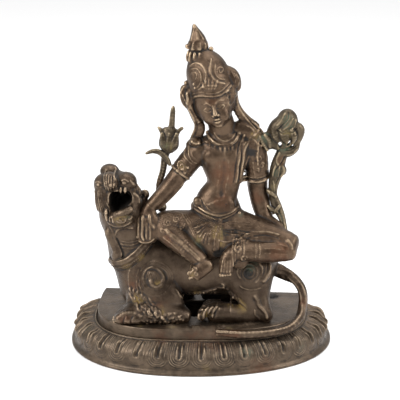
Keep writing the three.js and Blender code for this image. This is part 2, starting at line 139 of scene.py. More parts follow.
def make_piece(name, points, loops, sizes, marks):
    """A smooth-shaded mesh object from points in millimetres, faces given as corner numbers and face
    sizes, and one value per point for each named mark that its material reads."""
    mesh = bpy.data.meshes.new(name)
    mesh.vertices.add(len(points))
    mesh.vertices.foreach_set("co", (np.asarray(points) * metre).astype(np.float32).ravel())
    mesh.loops.add(len(loops))
    mesh.loops.foreach_set("vertex_index", np.asarray(loops, np.int32))
    mesh.polygons.add(len(sizes))
    starts = np.concatenate([[0], np.cumsum(sizes)[:-1]])
    mesh.polygons.foreach_set("loop_start", starts.astype(np.int32))
    for mark, values in marks.items():
        attribute = mesh.attributes.new(mark, "FLOAT", "POINT")
        attribute.data.foreach_set("value", np.asarray(values, np.float32))
    mesh.update(calc_edges=True)
    mesh.polygons.foreach_set("use_smooth", np.ones(len(mesh.polygons), bool))
    piece = bpy.data.objects.new(name, mesh)
    bpy.context.scene.collection.objects.link(piece)
    return piece


def nearness(points, spots):
    """How near points are to any of several spots [x, y, z, radius]: the sum of exp(-(d/r)^2), up to 1."""
    total = np.zeros(len(points))
    for x, y, z, radius in spots:
        total += np.exp(-np.sum((np.asarray(points) - (x, y, z)) ** 2, axis=1) / radius**2)
    return np.minimum(total, 1)


# The section from under the lip up to the plate: inset from the foot's outline, height, inset of the back.
foot_section = [
    (1.2, 0.0, 1.2),
    (0.2, 0.5, 0.2),
    (0.0, 1.4, 0.0),
    (0.6, 2.4, 0.4),
    (2.3, 3.3, 1.0),
    (3.7, 4.7, 1.5),
]
band_section = [
    (4.4, 6.6, 1.8),
    (4.7, 9.4, 2.0),
    (5.6, 14.0, 2.2),
    (8.2, 17.8, 2.2),
    (12.2, 20.7, 2.2),
    (17.0, 22.8, 2.0),
    (20.8, 24.2, 1.8),
]
edge_section = [
    (22.4, 24.7, 1.5),
    (23.2, 26.2, 1.2),
    (24.5, 25.3, 1.6),
    (25.3, 24.9, 1.8),
    (25.7, 27.5, 1.0),
    (25.9, 33.9, 1.0),
    (26.9, plate_top, 2.0),
]
foot_rows = through(foot_section, 3)
band_rows = through(band_section, 9)[1:-1]
edge_rows = through(edge_section, 3)
section = np.vstack([foot_rows, band_rows, edge_rows])
steps = np.gradient(section[:, :2], axis=0)
outward = steps[:, ::-1] / np.hypot(*steps.T)[:, None]
up_band = np.concatenate([[0], np.cumsum(np.hypot(*np.diff(section[:, :2], axis=0).T))])
up_band = up_band - up_band[len(foot_rows)]

curve_share = np.linspace(0, 1, petal_count * columns_per_petal + 1)
back_share = 1 - np.linspace(1, 0, back_columns + 2)[1:-1] ** 1.8
end_fade = np.clip(np.minimum(curve_share, 1 - curve_share) * petal_count / 0.2, 0, 1)


def base_ring(inset, height, back_inset, relief=0.0, lean=(1.0, 0.0)):
    """One closed ring round the base. The relief pushes the curved part outwards along the section's
    normal, as a smaller inset and a greater height, and the straight back stays plain."""
    x, y = plan_line(curve_share, inset, back_inset)
    x_out, y_out = plan_line(curve_share, inset - 1, back_inset)
    push = relief * lean[0] + wander(curve_share * 2 * math.pi, 7, 0.1, 31)
    y = np.minimum(y + (y_out - y) * push, plan_back - back_inset)
    x = np.clip(x + (x_out - x) * push, -base_width / 2, base_width / 2)
    z = np.maximum(height + relief * lean[1], 0) + np.zeros_like(x)
    back_x = x[-1] + (x[0] - x[-1]) * back_share
    back = np.column_stack([back_x, np.full_like(back_x, y[-1]), np.full_like(back_x, height)])
    return np.vstack([np.column_stack([x, y, z]), back])


rings = []
for row, (inset, height, back_inset) in enumerate(section):
    relief = np.zeros_like(curve_share)
    if 0 < up_band[row] < up_band[len(foot_rows) + len(band_rows)]:
        relief = petal_relief(curve_share, up_band[row], 5) * end_fade
    rings.append(base_ring(inset, height, back_inset, relief, outward[row]))

# The plate's top runs in to the rough opening under the belly, whose wall leads down to the underside.
opening_centre = np.array([-2.0, 12.0])
opening_half = np.array([17.2, 19.5])
opening_corner = 5
plate_rows = 20
rim = rings[-1][:, :2]
bearing = np.arctan2(*(rim - opening_centre).T[::-1])
ragged = 1 + wander(bearing, 7, 0.022, 8)
towards = np.column_stack([np.cos(bearing), np.sin(bearing)])
reach = np.sum(np.abs(towards / opening_half) ** opening_corner, axis=1) ** (-1 / opening_corner)
mouth = opening_centre + towards * (reach * ragged)[:, None]


# A small casting hole lies behind the far hind leg.
casting_hole = np.array([64.6, 44.4])
casting_hole_half = np.array([2.7, 3.6])
casting_hole_depth = 4.6
heap_height = 2.3


def gathered(points):
    """Points of the plate drawn towards the casting hole by 0.85 exp(-(d/11)^2) of their way to it."""
    way = casting_hole - points
    return points + way * 0.85 * ridge(np.hypot(*way.T), 11)[:, None]


def ground(points):
    """The plate's surface: flat, with a low lumpy ridge of ground along its front edge between the paws,
    as a band about a front line with a seeded ripple, fading out at both ends and at the plate's edge.
    The casting hole is a pit whose wall drops where the distance over its half sizes falls below 1."""
    x, y = points.T
    edge = -37.0 + 0.0035 * x**2 + plan_shear * x * 0.8
    along = np.clip((x + 34) / 12, 0, 1) * np.clip((66 - x) / 14, 0, 1)
    lumps = 1 + wander(x * 0.28, 9, 0.22, 12)
    heap = heap_height * along * lumps * ridge(y - edge - 4.6, 2.8) * np.clip((y - edge - 0.6) / 2, 0, 1)
    off_hole = np.hypot(*((points - casting_hole) / casting_hole_half).T)
    return plate_top + heap - casting_hole_depth * np.clip((1 - off_hole) / 0.45, 0, 1)


for t in np.linspace(0, 1, plate_rows + 1)[1:] ** 0.8:
    flat = gathered(rim + (mouth - rim) * t)
    rings.append(np.column_stack([flat, ground(flat)]))
for spread, height in [(0.985, plate_top - 0.7), (0.975, 33.0), (0.985, underside + 0.6)]:
    wall = opening_centre + (mouth - opening_centre) * spread
    rings.append(np.column_stack([wall, np.full(len(wall), height)]))

# Inside: the underside of the plate, the wall down to the foot, and the foot's flat bottom.
under_edge = base_ring(35.0, underside, 6.0)
under_mouth = opening_centre + (mouth - opening_centre) * 0.99
for t in (0.25, 0.6, 1.0):
    below = under_mouth + (under_edge[:, :2] - under_mouth) * t
    rings.append(np.column_stack([below, np.full(len(below), underside + 0.2 - 0.2 * t)]))
inner_section = [(31.0, 25.5), (23.5, 20.0), (16.0, 16.0), (12.5, 10.5), (9.5, 5.0), (6.2, 1.2), (4.8, 0.0)]
for inset, height in inner_section:
    rings.append(base_ring(inset, height, 5.0))

shell = np.array(rings)
row_count, column_count = shell.shape[:2]


def bulge_of(shell, reach):
    """How far each point stands out from the mean of its four neighbours a few cells away, along the
    surface's normal, over the square of their distance: positive on ridges and negative in hollows."""
    sides = [np.roll(shell, step, axis) for axis in (0, 1) for step in (reach, -reach)]
    normal = np.cross(sides[1] - sides[0], sides[3] - sides[2])
    normal = normal / (np.linalg.norm(normal, axis=2, keepdims=True) + 1e-9)
    offset = shell - sum(sides) / 4
    spread = sum(np.sum((side - shell) ** 2, axis=2) for side in sides) / 4
    return np.sum(offset * normal, axis=2) / (spread + 0.1)


fine = bulge_of(shell, 1) * 0.5 + bulge_of(shell, 2) * 1.0
# The broad bulge is the mark that the material darkens in hollows as painted shade.
broad_shade = bulge_of(shell, 7) * 3.0
row, column = np.meshgrid(np.arange(row_count), np.arange(column_count), indexing="ij")
corner = row * column_count + column
beside = row * column_count + (column + 1) % column_count
above = ((row + 1) % row_count) * column_count + column
diagonal = ((row + 1) % row_count) * column_count + (column + 1) % column_count
quads = np.stack([corner, above, diagonal, beside], axis=-1)
places = shell.reshape(-1, 3)
# Painted shade: near these spots the marks are lowered, so the material darkens the casting hole's pit, the
# plate round the opening under the belly, and the plate between the far legs.
hole_shade_spots = [(*casting_hole + (0, 0.6), 33, 5)]
base_shade_spots = [(-2, 14, 32, 16), (-3, 44, 35, 13), *hole_shade_spots]
lotus_base = make_piece(
    "lotus_base_cast",
    places,
    quads.ravel(),
    np.full(quads.shape[0] * quads.shape[1], 4),
    {
        "raised": np.clip(fine.ravel() - nearness(places, hole_shade_spots), -1, 1),
        "broad_shade": np.clip(broad_shade.ravel() - nearness(places, base_shade_spots), -1, 1),
        "coppery": nearness(
            places, [(-30, -43, 31, 12), (0, -45, 31, 14), (24, -44, 31, 14), (60, -50, 2, 20)]
        ),
        "ochre": nearness(places, [(-20, -32, 36, 6), (10, -56, 8, 5), (30, -33, 36, 5), (-50, -30, 36, 5)]),
        "verdigris": nearness(places, [(46, -48, 20, 9), (96, -26, 16, 10), (-96, -10, 18, 9)]),
    },
)
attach(lotus_base, "root")
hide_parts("lotus_base")


def colour(red, green, blue):
    """An sRGB colour from 0 to 255 as linear values: ((c + 0.055) / 1.055)^2.4 above the dark end."""
    share = np.array([red, green, blue]) / 255
    linear = np.where(share > 0.04045, ((share + 0.055) / 1.055) ** 2.4, share / 12.92)
    return (*linear, 1.0)


def patinated(name, ground_tone, deep_tone, worn_tone, copper_tone, dirt_tone, green_tone):
    """Aged cast copper alloy. Two tones wander over each other, raised edges are rubbed to the worn tone
    and smoother, dark dirt lies in the fine hollows, and the broad hollows are darkened as painted shade;
    at the painted shade spots both darkenings are painted shade. The marks "coppery", "ochre" and
    "verdigris" say where bare reddish metal, yellow dirt and green corrosion lie. The skin has a fine
    casting grain, a soft hammered unevenness, small pits and hair scratches."""
    material = bpy.data.materials.new(name)
    material.use_nodes = True
    nodes, links = material.node_tree.nodes, material.node_tree.links
    shader = nodes["Principled BSDF"]
    place = nodes.new("ShaderNodeTexCoord")

    def noise(scale, detail, rough, stretch=(1, 1, 1), shift=0.0):
        turn = nodes.new("ShaderNodeMapping")
        turn.inputs["Scale"].default_value = stretch
        turn.inputs["Location"].default_value = (shift, shift * 0.7, -shift)
        links.new(place.outputs["Object"], turn.inputs["Vector"])
        made = nodes.new("ShaderNodeTexNoise")
        made.inputs["Scale"].default_value = scale
        made.inputs["Detail"].default_value = detail
        made.inputs["Roughness"].default_value = rough
        links.new(turn.outputs["Vector"], made.inputs["Vector"])
        return made.outputs["Fac"]

    def between(value, low, high, out_low=0.0, out_high=1.0):
        made = nodes.new("ShaderNodeMapRange")
        made.interpolation_type = "SMOOTHSTEP"
        made.inputs["From Min"].default_value = low
        made.inputs["From Max"].default_value = high
        made.inputs["To Min"].default_value = out_low
        made.inputs["To Max"].default_value = out_high
        links.new(value, made.inputs["Value"])
        return made.outputs["Result"]

    def combine(operation, first, second):
        made = nodes.new("ShaderNodeMath")
        made.operation = operation
        for socket, value in zip(made.inputs, (first, second)):
            if isinstance(value, (int, float)):
                socket.default_value = value
            else:
                links.new(value, socket)
        return made.outputs["Value"]

    def scaled(value, factor):
        return combine("MULTIPLY", value, factor)

    def blend(share, first, second):
        made = nodes.new("ShaderNodeMix")
        made.data_type = "RGBA"
        links.new(share, made.inputs[0])
        for socket, value in ((made.inputs[6], first), (made.inputs[7], second)):
            if isinstance(value, tuple):
                socket.default_value = value
            else:
                links.new(value, socket)
        return made.outputs[2]

    def mark(attribute_name):
        made = nodes.new("ShaderNodeAttribute")
        made.attribute_name = attribute_name
        return made.outputs["Fac"]

    raised, broad_shade = mark("raised"), mark("broad_shade")
    cloud = noise(70, 4, 0.6)
    mottle = noise(260, 5, 0.65, shift=1.3)
    grain = noise(1500, 4, 0.7, shift=0.4)
    blotch = noise(150, 4, 0.65, shift=3.7)
    uneven = combine("ADD", raised, scaled(combine("SUBTRACT", mottle, 0.5), 0.6))

    def where(attribute_name, low, high):
        """A mark broken up by the blotches, so that its edge is ragged."""
        ragged = combine("ADD", mark(attribute_name), scaled(combine("SUBTRACT", blotch, 0.5), 1.6))
        return between(ragged, low, high)

    clouded = between(combine("ADD", cloud, scaled(mottle, 0.5)), 0.55, 0.92)
    tone = blend(clouded, deep_tone, ground_tone)
    tone = blend(scaled(where("coppery", 0.35, 1.2), 0.6), tone, copper_tone)
    rubbed = between(uneven, 0.10, 0.62)
    tone = blend(rubbed, tone, worn_tone)
    # Dark dirt in the fine hollows, which is also painted shade wherever the marks were lowered at painted
    # shade spots.
    dirt_and_painted_shade = between(uneven, -0.03, -0.36)
    # Painted shade: the broad hollows are darkened towards near black (22, 17, 12).
    broad_painted_shade = between(broad_shade, -0.08, -0.5)
    tone = blend(scaled(dirt_and_painted_shade, 0.92), tone, colour(24, 18, 13))
    tone = blend(scaled(broad_painted_shade, 0.75), tone, colour(22, 17, 12))
    ochre = combine("MULTIPLY", where("ochre", 0.35, 0.9), between(uneven, 0.25, -0.25))
    tone = blend(scaled(ochre, 0.8), tone, dirt_tone)
    verdigris = combine("MULTIPLY", where("verdigris", 0.4, 0.95), between(uneven, 0.3, -0.25))
    tone = blend(scaled(verdigris, 0.7), tone, green_tone)
    crust = combine("MAXIMUM", ochre, verdigris)
    links.new(tone, shader.inputs["Base Color"])

    # Dirt, with the painted shade that shares its mask, and crust are dull and hide the metal, and rubbed
    # edges shine a little more.
    shader.inputs["Specular IOR Level"].default_value = 0.5
    covered = combine("MAXIMUM", scaled(dirt_and_painted_shade, 0.75), crust)
    links.new(combine("SUBTRACT", 0.85, scaled(covered, 0.75)), shader.inputs["Metallic"])
    dullness = combine("ADD", scaled(rubbed, -0.07), scaled(covered, 0.32))
    rough = combine("ADD", between(mottle, 0.3, 0.75, 0.30, 0.48), dullness)
    links.new(rough, shader.inputs["Roughness"])

    hammer = noise(420, 3, 0.6, shift=5.1)
    pits = between(noise(700, 2, 0.5, shift=6.6), 0.34, 0.28)
    scratch = between(noise(330, 3, 0.7, stretch=(1, 7, 9), shift=7.7), 0.60, 0.68)
    rises = combine("ADD", combine("ADD", scaled(grain, 0.4), scaled(mottle, 0.9)), scaled(hammer, 0.9))
    dips = combine("ADD", scaled(pits, 0.5), scaled(scratch, 0.25))
    height = combine("SUBTRACT", rises, dips)
    bump = nodes.new("ShaderNodeBump")
    bump.inputs["Strength"].default_value = 0.5
    bump.inputs["Distance"].default_value = 0.00048
    links.new(height, bump.inputs["Height"])
    links.new(bump.outputs["Normal"], shader.inputs["Normal"])
    return material


lotus_base.data.materials.append(
    patinated(
        "base_patina",
        ground_tone=colour(98, 84, 70),
        deep_tone=colour(72, 61, 50),
        worn_tone=colour(150, 132, 110),
        copper_tone=colour(92, 62, 46),
        dirt_tone=colour(104, 86, 48),
        green_tone=colour(70, 80, 62),
    )
)

# Lion. A hollow casting like the rider, soldered to the plate at its paws: crouching with its chest to
# the left and its head thrown back, mouth wide open, the tail bent round the plate's right side. It was
# modelled in wax, so it is built up here the same way, as distances on a grid that is skinned at the end.

# Distances for cells with no wax near, for the middle of a shape where its formula is too rough, and to
# guard a division, and two planes before and behind the statue from which lines are laid onto it.
empty = 5.0
core_share = 0.02
tiny = 1e-4
near_side = -45.0
far_side = 57.0


class Wax:
    """Modelling wax as a grid of distances in millimetres, negative inside and positive outside. Each
    tool changes only the cells near it. Two shapes a and b run together as a rounded union: the mix of a
    and b by h, less k h (1 - h), with h = 0.5 + (a - b) / 2k kept within 0 and 1."""

    def __init__(self, low, high, cell):
        self.low, self.cell = np.array(low, float), cell
        self.count = (np.ceil((np.array(high) - low) / cell)).astype(int) + 1
        self.field = np.full(self.count, empty, np.float32)

    def window(self, low, high):
        """The cells between two corners: their slices, and their x, y and z as arrays that broadcast."""
        first = np.clip(np.floor((np.asarray(low) - self.low) / self.cell).astype(int), 0, self.count - 1)
        last = np.clip(np.ceil((np.asarray(high) - self.low) / self.cell).astype(int) + 1, 1, self.count)
        part = tuple(slice(a, b) for a, b in zip(first, last))
        cells = (np.arange(a, b, dtype=np.float32) for a, b in zip(first, last))
        x, y, z = (number * self.cell + start for number, start in zip(cells, self.low))
        return part, x[:, None, None], y[None, :, None], z[None, None, :]

    def press(self, part, distance, run, cut=False):
        """Joins a shape to the wax, or cuts it out of the wax, with that width of rounding."""
        old = self.field[part]
        sign = np.float32(-1 if cut else 1)
        old = old * sign
        if run > 0:
            mix = np.clip(0.5 + 0.5 * (old - distance) / run, 0, 1)
            new = old + (distance - old) * mix - run * mix * (1 - mix)
        else:
            new = np.minimum(old, distance)
        self.field[part] = new * sign

    def limb(self, stations, run=2.0, pole=0.6):
        """A rounded limb along a smooth curve of [x, y, z, half width, half depth], the depth as near to
        the world's y as the curve lets it. In each short span the offset from the centre line is split
        into side s, depth d and the part t past the ends; with k = |(s/w, d/e, t/p)| and m = |(s/w^2,
        d/e^2, t/p^2)| the distance is k (k - 1) / m. The ends are rounded by the pole's share of w and e."""
        path = through([(*s, s[3]) if len(s) == 4 else s for s in stations], 4)
        for a, b in zip(path[:-1], path[1:]):
            widest = max(a[3:].max(), b[3:].max()) + run + 2 * self.cell
            low, high = np.minimum(a[:3], b[:3]) - widest, np.maximum(a[:3], b[:3]) + widest
            part, x, y, z = self.window(low, high)
            if 0 in self.field[part].shape:
                continue
            span = b[:3] - a[:3]
            length = np.linalg.norm(span)
            along = span / length
            deep = np.array([0, 1, 0]) - along * along[1]
            deep = deep / np.linalg.norm(deep)
            wide = np.cross(deep, along)
            x, y, z = x - a[0], y - a[1], z - a[2]
            t = x * along[0] + y * along[1] + z * along[2]
            share = np.clip(t / length, 0, 1)
            over = t - share * length
            side = x * wide[0] + y * wide[1] + z * wide[2]
            depth = x * deep[0] + y * deep[1] + z * deep[2]
            half_wide = a[3] + (b[3] - a[3]) * share
            half_deep = a[4] + (b[4] - a[4]) * share
            reach = np.minimum(half_wide, half_deep) * pole
            k = np.sqrt((side / half_wide) ** 2 + (depth / half_deep) ** 2 + (over / reach) ** 2)
            m = np.sqrt((side / half_wide**2) ** 2 + (depth / half_deep**2) ** 2 + (over / reach**2) ** 2)
            distance = k * (k - 1) / (m + tiny) - (k < core_share) * np.minimum(half_wide, half_deep)
            self.press(part, distance.astype(np.float32), run)

    def ball(self, centre, half, run=2.0, turn=0.0, cut=False):
        """An ellipsoid, turned about the world's y by some degrees, by the same k (k - 1) / m."""
        half = np.asarray(half, float) * np.ones(3)
        widest = half.max() + run + 2 * self.cell
        part, x, y, z = self.window(np.subtract(centre, widest), np.add(centre, widest))
        x, y, z = x - centre[0], y - centre[1], z - centre[2]
        cosine, sine = math.cos(math.radians(turn)), math.sin(math.radians(turn))
        u, w = x * cosine - z * sine, x * sine + z * cosine
        k = np.sqrt((u / half[0]) ** 2 + (y / half[1]) ** 2 + (w / half[2]) ** 2)
        m = np.sqrt((u / half[0] ** 2) ** 2 + (y / half[1] ** 2) ** 2 + (w / half[2] ** 2) ** 2)
        distance = k * (k - 1) / (m + tiny) - (k < core_share) * half.min()
        self.press(part, distance.astype(np.float32), run, cut)

    def cord(self, points, radius, run=0.5, cut=False):
        """A round cord of wax along points, or a groove where cut; the radius may change along it."""
        points = np.asarray(points, float)
        radii = np.asarray(radius, float) * np.ones(len(points))
        for a, b, r, s in zip(points[:-1], points[1:], radii[:-1], radii[1:]):
            widest = max(r, s) + run + 1.5 * self.cell
            part, x, y, z = self.window(np.minimum(a, b) - widest, np.maximum(a, b) + widest)
            span = b - a
            x, y, z = x - a[0], y - a[1], z - a[2]
            share = np.clip((x * span[0] + y * span[1] + z * span[2]) / (span @ span + 1e-9), 0, 1)
            offset = (x - share * span[0]) ** 2 + (y - share * span[1]) ** 2 + (z - share * span[2]) ** 2
            distance = np.sqrt(offset) - (r + (s - r) * share)
            self.press(part, distance.astype(np.float32), run, cut)

    def line(self, flat, thick, run=0.5, cut=False, sink=0.3, way=1, per=8):
        """A ridge, or a groove where cut, along a smooth curve of x and z laid onto the front, or onto the
        back where way is -1. Thick is its radius, or the radii of its start and end."""
        curve = through(flat, per)
        outside = np.full(len(curve), near_side if way > 0 else far_side)
        start = np.column_stack([curve[:, 0], outside, curve[:, 1]])
        radius = np.linspace(*(thick if isinstance(thick, tuple) else (thick, thick)), len(curve))
        self.cord(self.onto(start, (0, way, 0), sink), radius, run, cut)

    def swirl(self, x, z, outer, inner, turns, start, thick, run=0.5, way=1, spin=1, squash=1.0):
        """A flat spiral laid onto the front or the back: the angle runs from start, while the radius
        shrinks evenly from outer to inner."""
        t = np.linspace(0, 1, max(10, int(12 * turns * outer**0.5)))
        angle = math.radians(start) + spin * 2 * math.pi * turns * t
        radius = outer + (inner - outer) * t
        flat = np.column_stack([x + radius * np.cos(angle), z + squash * radius * np.sin(angle)])
        self.line(flat, thick, run, way=way, per=1)

    def weave(self, centre, half, pitch, depth, lean=0.0):
        """A fine chased pattern within an ellipsoid, fading at its edge: the surface moves in and out by
        depth times cos(2 pi u / pitch) cos(2 pi v / pitch), u and v being x and z turned by the lean."""
        half = np.asarray(half, float)
        part, x, y, z = self.window(np.subtract(centre, half), np.add(centre, half))
        flat_away = ((x - centre[0]) / half[0]) ** 2 + ((y - centre[1]) / half[1]) ** 2
        fade = np.clip((1 - flat_away - ((z - centre[2]) / half[2]) ** 2) * 3, 0, 1)
        cosine, sine = math.cos(math.radians(lean)), math.sin(math.radians(lean))
        u = (x * cosine + z * sine) * 2 * math.pi / pitch
        v = (z * cosine - x * sine + 0.6 * y) * 2 * math.pi / pitch
        self.field[part] += (depth * fade * np.cos(u) * np.cos(v)).astype(np.float32)

    def beads(self, points, radius, run=0.3, cut=False):
        """Small balls of wax at points."""
        for point in np.asarray(points, float):
            self.ball(point, (radius, radius, radius), run, 0.0, cut)

    def value(self, points):
        """The field at any points, by linear mixing of the eight cells around each."""
        return mixed(self.field, (np.asarray(points) - self.low) / self.cell)

    def onto(self, starts, direction, depth=0.0, travel=70.0):
        """Slides points along a direction until they meet the wax, and sinks them by a depth. A point
        that meets nothing goes to where its neighbours in the list lie."""
        starts = np.asarray(starts, float).reshape(-1, 3)
        direction = np.asarray(direction, float) * np.ones_like(starts)
        direction = direction / np.linalg.norm(direction, axis=1, keepdims=True)
        pace = 0.35
        way = np.arange(0, travel, pace)
        trial = starts[:, None, :] + way[None, :, None] * direction[:, None, :]
        values = self.value(trial.reshape(-1, 3)).reshape(len(starts), -1)
        first = np.argmax(values < 0, axis=1)
        met = (values < 0).any(axis=1)
        number = np.arange(len(starts))
        before, after = values[number, np.maximum(first - 1, 0)], values[number, first]
        slide = pace * (first - np.clip(after / (after - before - 1e-6), 0, 1))
        if met.any():
            slide = np.interp(number, number[met], slide[met])
        return starts + (slide + depth)[:, None] * direction

    def ring(self, centre, axis, outer, count, sink):
        """Points of a ring laid round a limb: from a circle outside it, straight in until they meet it."""
        axis = np.asarray(axis, float) / np.linalg.norm(axis)
        first = np.cross(axis, [0, 1, 0] if abs(axis[1]) < 0.9 else [1, 0, 0])
        first = first / np.linalg.norm(first)
        second = np.cross(axis, first)
        angle = np.radians(np.linspace(0, 360, count))[:, None]
        spoke = np.cos(angle) * first + np.sin(angle) * second
        return self.onto(np.asarray(centre) + spoke * outer, -spoke, sink, outer)

    def level(self, height):
        """Cuts off all the wax below a height."""
        z = self.low[2] + np.arange(self.count[2]) * self.cell
        self.field = np.maximum(self.field, (height - z).astype(np.float32)[None, None, :])

    def skin(self, name, coppery, ochre, verdigris, painted_shade_spots=()):
        """The wax's surface as a piece, with a mark for how far it stands out from its close
        surroundings and one for its broad surroundings: the empty share of a box about the point. The
        other marks are the nearness to the spots where the patina differs, and the painted shade spots lower
        the first two, so that the material paints shade there."""
        grid = openvdb.FloatGrid(background=empty)
        grid.copyFromArray(self.field)
        points, triangles, quads = grid.convertToPolygons(isovalue=0.0, adaptivity=0.02)
        filled = np.clip(0.5 - self.field / self.cell, 0, 1)
        marks = {}
        for mark, reach, gain in (("raised", 1.0, 3.2), ("broad_shade", 5.0, 2.0)):
            cells = max(1, round(reach / self.cell))
            share = box_mean(box_mean(filled, cells), cells)
            marks[mark] = np.clip((0.5 - mixed(share, points)) * gain, -1, 1)
        places = self.low + points * self.cell
        for mark in ("raised", "broad_shade"):
            marks[mark] = np.clip(marks[mark] - 1.4 * nearness(places, painted_shade_spots), -1, 1)
        for mark, spots in (("coppery", coppery), ("ochre", ochre), ("verdigris", verdigris)):
            marks[mark] = nearness(places, spots)
        loops = np.concatenate([np.asarray(triangles).ravel(), np.asarray(quads).ravel()])
        sizes = np.concatenate([np.full(len(triangles), 3), np.full(len(quads), 4)])
        return make_piece(name, places, loops, sizes, marks)


def mixed(volume, places):
    """Values of a volume at fractional places: each is the sum over its eight corners, weighted by the
    product of the shares along x, y and z."""
    places = np.clip(places, 0, np.array(volume.shape) - 1.001)
    base = places.astype(int)
    share = places - base
    total = np.zeros(len(places))
    for corner in np.ndindex(2, 2, 2):
        weight = np.prod(np.where(corner, share, 1 - share), axis=1)
        total += weight * volume[tuple((base + corner).T)]
    return total


def box_mean(volume, cells):
    """Mean over a box of 2 cells + 1 along each axis, by differences of running sums."""
    for axis in range(3):
        pad = [(0, 0)] * 3
        pad[axis] = (cells + 1, cells)
        sums = np.cumsum(np.pad(volume, pad, mode="edge"), axis=axis, dtype=np.float32)
        size = 2 * cells + 1
        count = volume.shape[axis]
        upper = np.take(sums, np.arange(size, size + count), axis=axis)
        lower = np.take(sums, np.arange(0, count), axis=axis)
        volume = (upper - lower) / size
    return volume


front = (0, 1, 0)
lion_middle = 11.5
lion = Wax((-93, -47, 27), (100, 57, 173), 0.6)


def both_sides(stations):
    """The same limb on the near and on the far side of the lion."""
    return [stations, [(x, 2 * lion_middle - y, *rest) for x, y, *rest in stations]]


# The body.
trunk = [
    (-52, 12, 84, 22, 22),
    (-32, 13, 80, 23, 25),
    (-8, 13, 80, 21, 23),
    (12, 13, 80, 21, 23),
    (34, 13, 79, 22, 25),
    (50, 13, 77, 20, 23),
    (59, 13, 75, 12, 14),
]
chest = [(-52, 9, 50, 14, 17), (-53.5, 8, 64, 15, 18), (-54.5, 7, 78, 16.5, 18.4), (-59, 6, 92, 16.4, 18)]
neck = [(-57, 8, 90, 20, 19), (-61, 5, 104, 16.4, 17), (-64.8, 3, 118, 15.4, 16.5), (-69, 2, 132, 17, 17)]
lion.limb(trunk, 6)
lion.limb(chest, 8)
lion.limb(neck, 8)
lion.limb([(-24, 7, 72, 17, 16), (0, 6, 70.5, 16.5, 16), (30, 7, 71, 17, 16)], 5)
shoulder = [(-38, -1, 80, 17, 12), (-40, -7, 64, 20, 11.5), (-38, -12, 50, 24, 10), (-37, -14, 38, 26, 9)]
forearm = [(-9, -18, 40, 6, 6.5), (-28, -20, 42, 8.5, 8), (-50, -22, 42.5, 8, 8.5), (-62, -23, 41.5, 6.5, 9)]
haunch = [(44, 0, 80, 20, 13.5), (46, -4, 66, 18, 12), (50, -8, 52, 12, 9), (50, -10, 39, 10, 8)]
hock = [(51, -6, 62, 8, 7), (54.6, -11, 52, 6, 5), (58.2, -13, 44, 5, 5), (61, -13, 38, 4.5, 5)]
hind_foot = [(57, -10, 38.5, 5, 5), (42, -13, 39.5, 6, 5.5), (26, -14, 42, 8, 8), (13, -14, 42.6, 8.5, 9)]
far_hock = [(51, 29, 62, 8, 7), (54, 34, 52, 6, 5), (55.6, 36, 44, 5, 5), (57, 36, 38, 4.5, 5)]
forelegs = [*both_sides(shoulder), *both_sides(forearm)]
hind_legs = [*both_sides(haunch), hock, far_hock, *both_sides(hind_foot)]
for limb in (*forelegs, *hind_legs):
    lion.limb(limb, 4)
for k in range(4):
    near = -30 + 4.9 * k
    for side, hind in ((near, near + 9.5), (2 * lion_middle - near, 2 * lion_middle - near - 9.5)):
        back_step = 1.3 * abs(k - 1.5)
        lion.limb([(-54, side, 45.5, 3.0), (-63, side, 44.5, 3.4), (-71 + back_step, side, 39, 3.2)], 1.0)
        lion.limb([(19, hind, 48.5, 3.0), (9, hind, 47, 3.4), (1.5 + back_step, hind, 39, 3.0)], 1.0)
lion.level(35.2)
tail = [
    (52, 13, 75, 5.6),
    (65, 13, 75, 4.6),
    (75, 12, 72.6, 4.3),
    (83, 9, 68.4, 4.2),
    (89.2, 6, 62.4, 4.1),
    (92.4, 3, 55, 4),
    (92.4, 0, 46, 4),
    (89.8, -8, 37.5, 4),
    (80.6, -20, 32.6, 4),
    (64, -29.8, 31.6, 4),
    (42, -37.6, 32.8, 4, 3.8),
    (19, -41.2, 35, 3.4, 2.6),
]
lion.limb(tail[:3], 3)
lion.limb(tail, 0.5)

# The head. Its mouth is a deep hole that leads down into the hollow casting; its dark inside is painted
# shade, from the painted shade spots given to the lion's skin.
lion.ball((-71.5, 1, 146), (18.4, 18.5, 20), 3)
lion.ball((-78, 5, 164.5), (8.4, 8, 6.6), 1.6)
lion.ball((-62.6, -5.5, 158.6), (9.6, 10, 8.6), 2.5)
lion.ball((-82, -6, 156), (8.6, 9.6, 9.4), 2.5)
lion.limb([(-76.5, -9, 163, 5.5), (-75, -15, 161, 5.4), (-73.5, -16.5, 158, 5)], 2.5)
lion.ball((-83.4, -8, 143), (6.2, 9.4, 13), 3)
lion.ball((-55.4, -4, 143), (6.4, 9.6, 12), 3)
lion.ball((-65.6, -12.5, 129), (11.6, 10.6, 8.2), 3)
mouth_lobes = ((-67.6, 144.2, 8.6, 8.8), (-71.4, 139.4, 5, 7.4), (-62.2, 146, 5.8, 6.8), (-71, 147, 5, 5.8))
for x, z, wide, tall in mouth_lobes:
    lion.ball((x, -20, z), (wide, 28, tall), 1.0, cut=True)
lion.limb(
    [(-73.6, -16, 130.6, 2.8), (-68, -20, 133.2, 3), (-62, -20, 135.4, 3.2), (-57.4, -17, 137.4, 3)], 1.5
)
lion.limb(
    [(-65.5, -3, 161.2, 4.6), (-61.6, -3, 157.4, 4.8), (-58.2, -1, 150.8, 4.6), (-53, 2, 145, 4.2)], 2.5
)
lion.ball((-47.6, 5.6, 143.6), (4.2, 3.4, 4.6), 0.8)
lion.limb([(-56, 4, 138, 7), (-49, 7, 131, 7), (-44, 9, 122, 7)], 3)

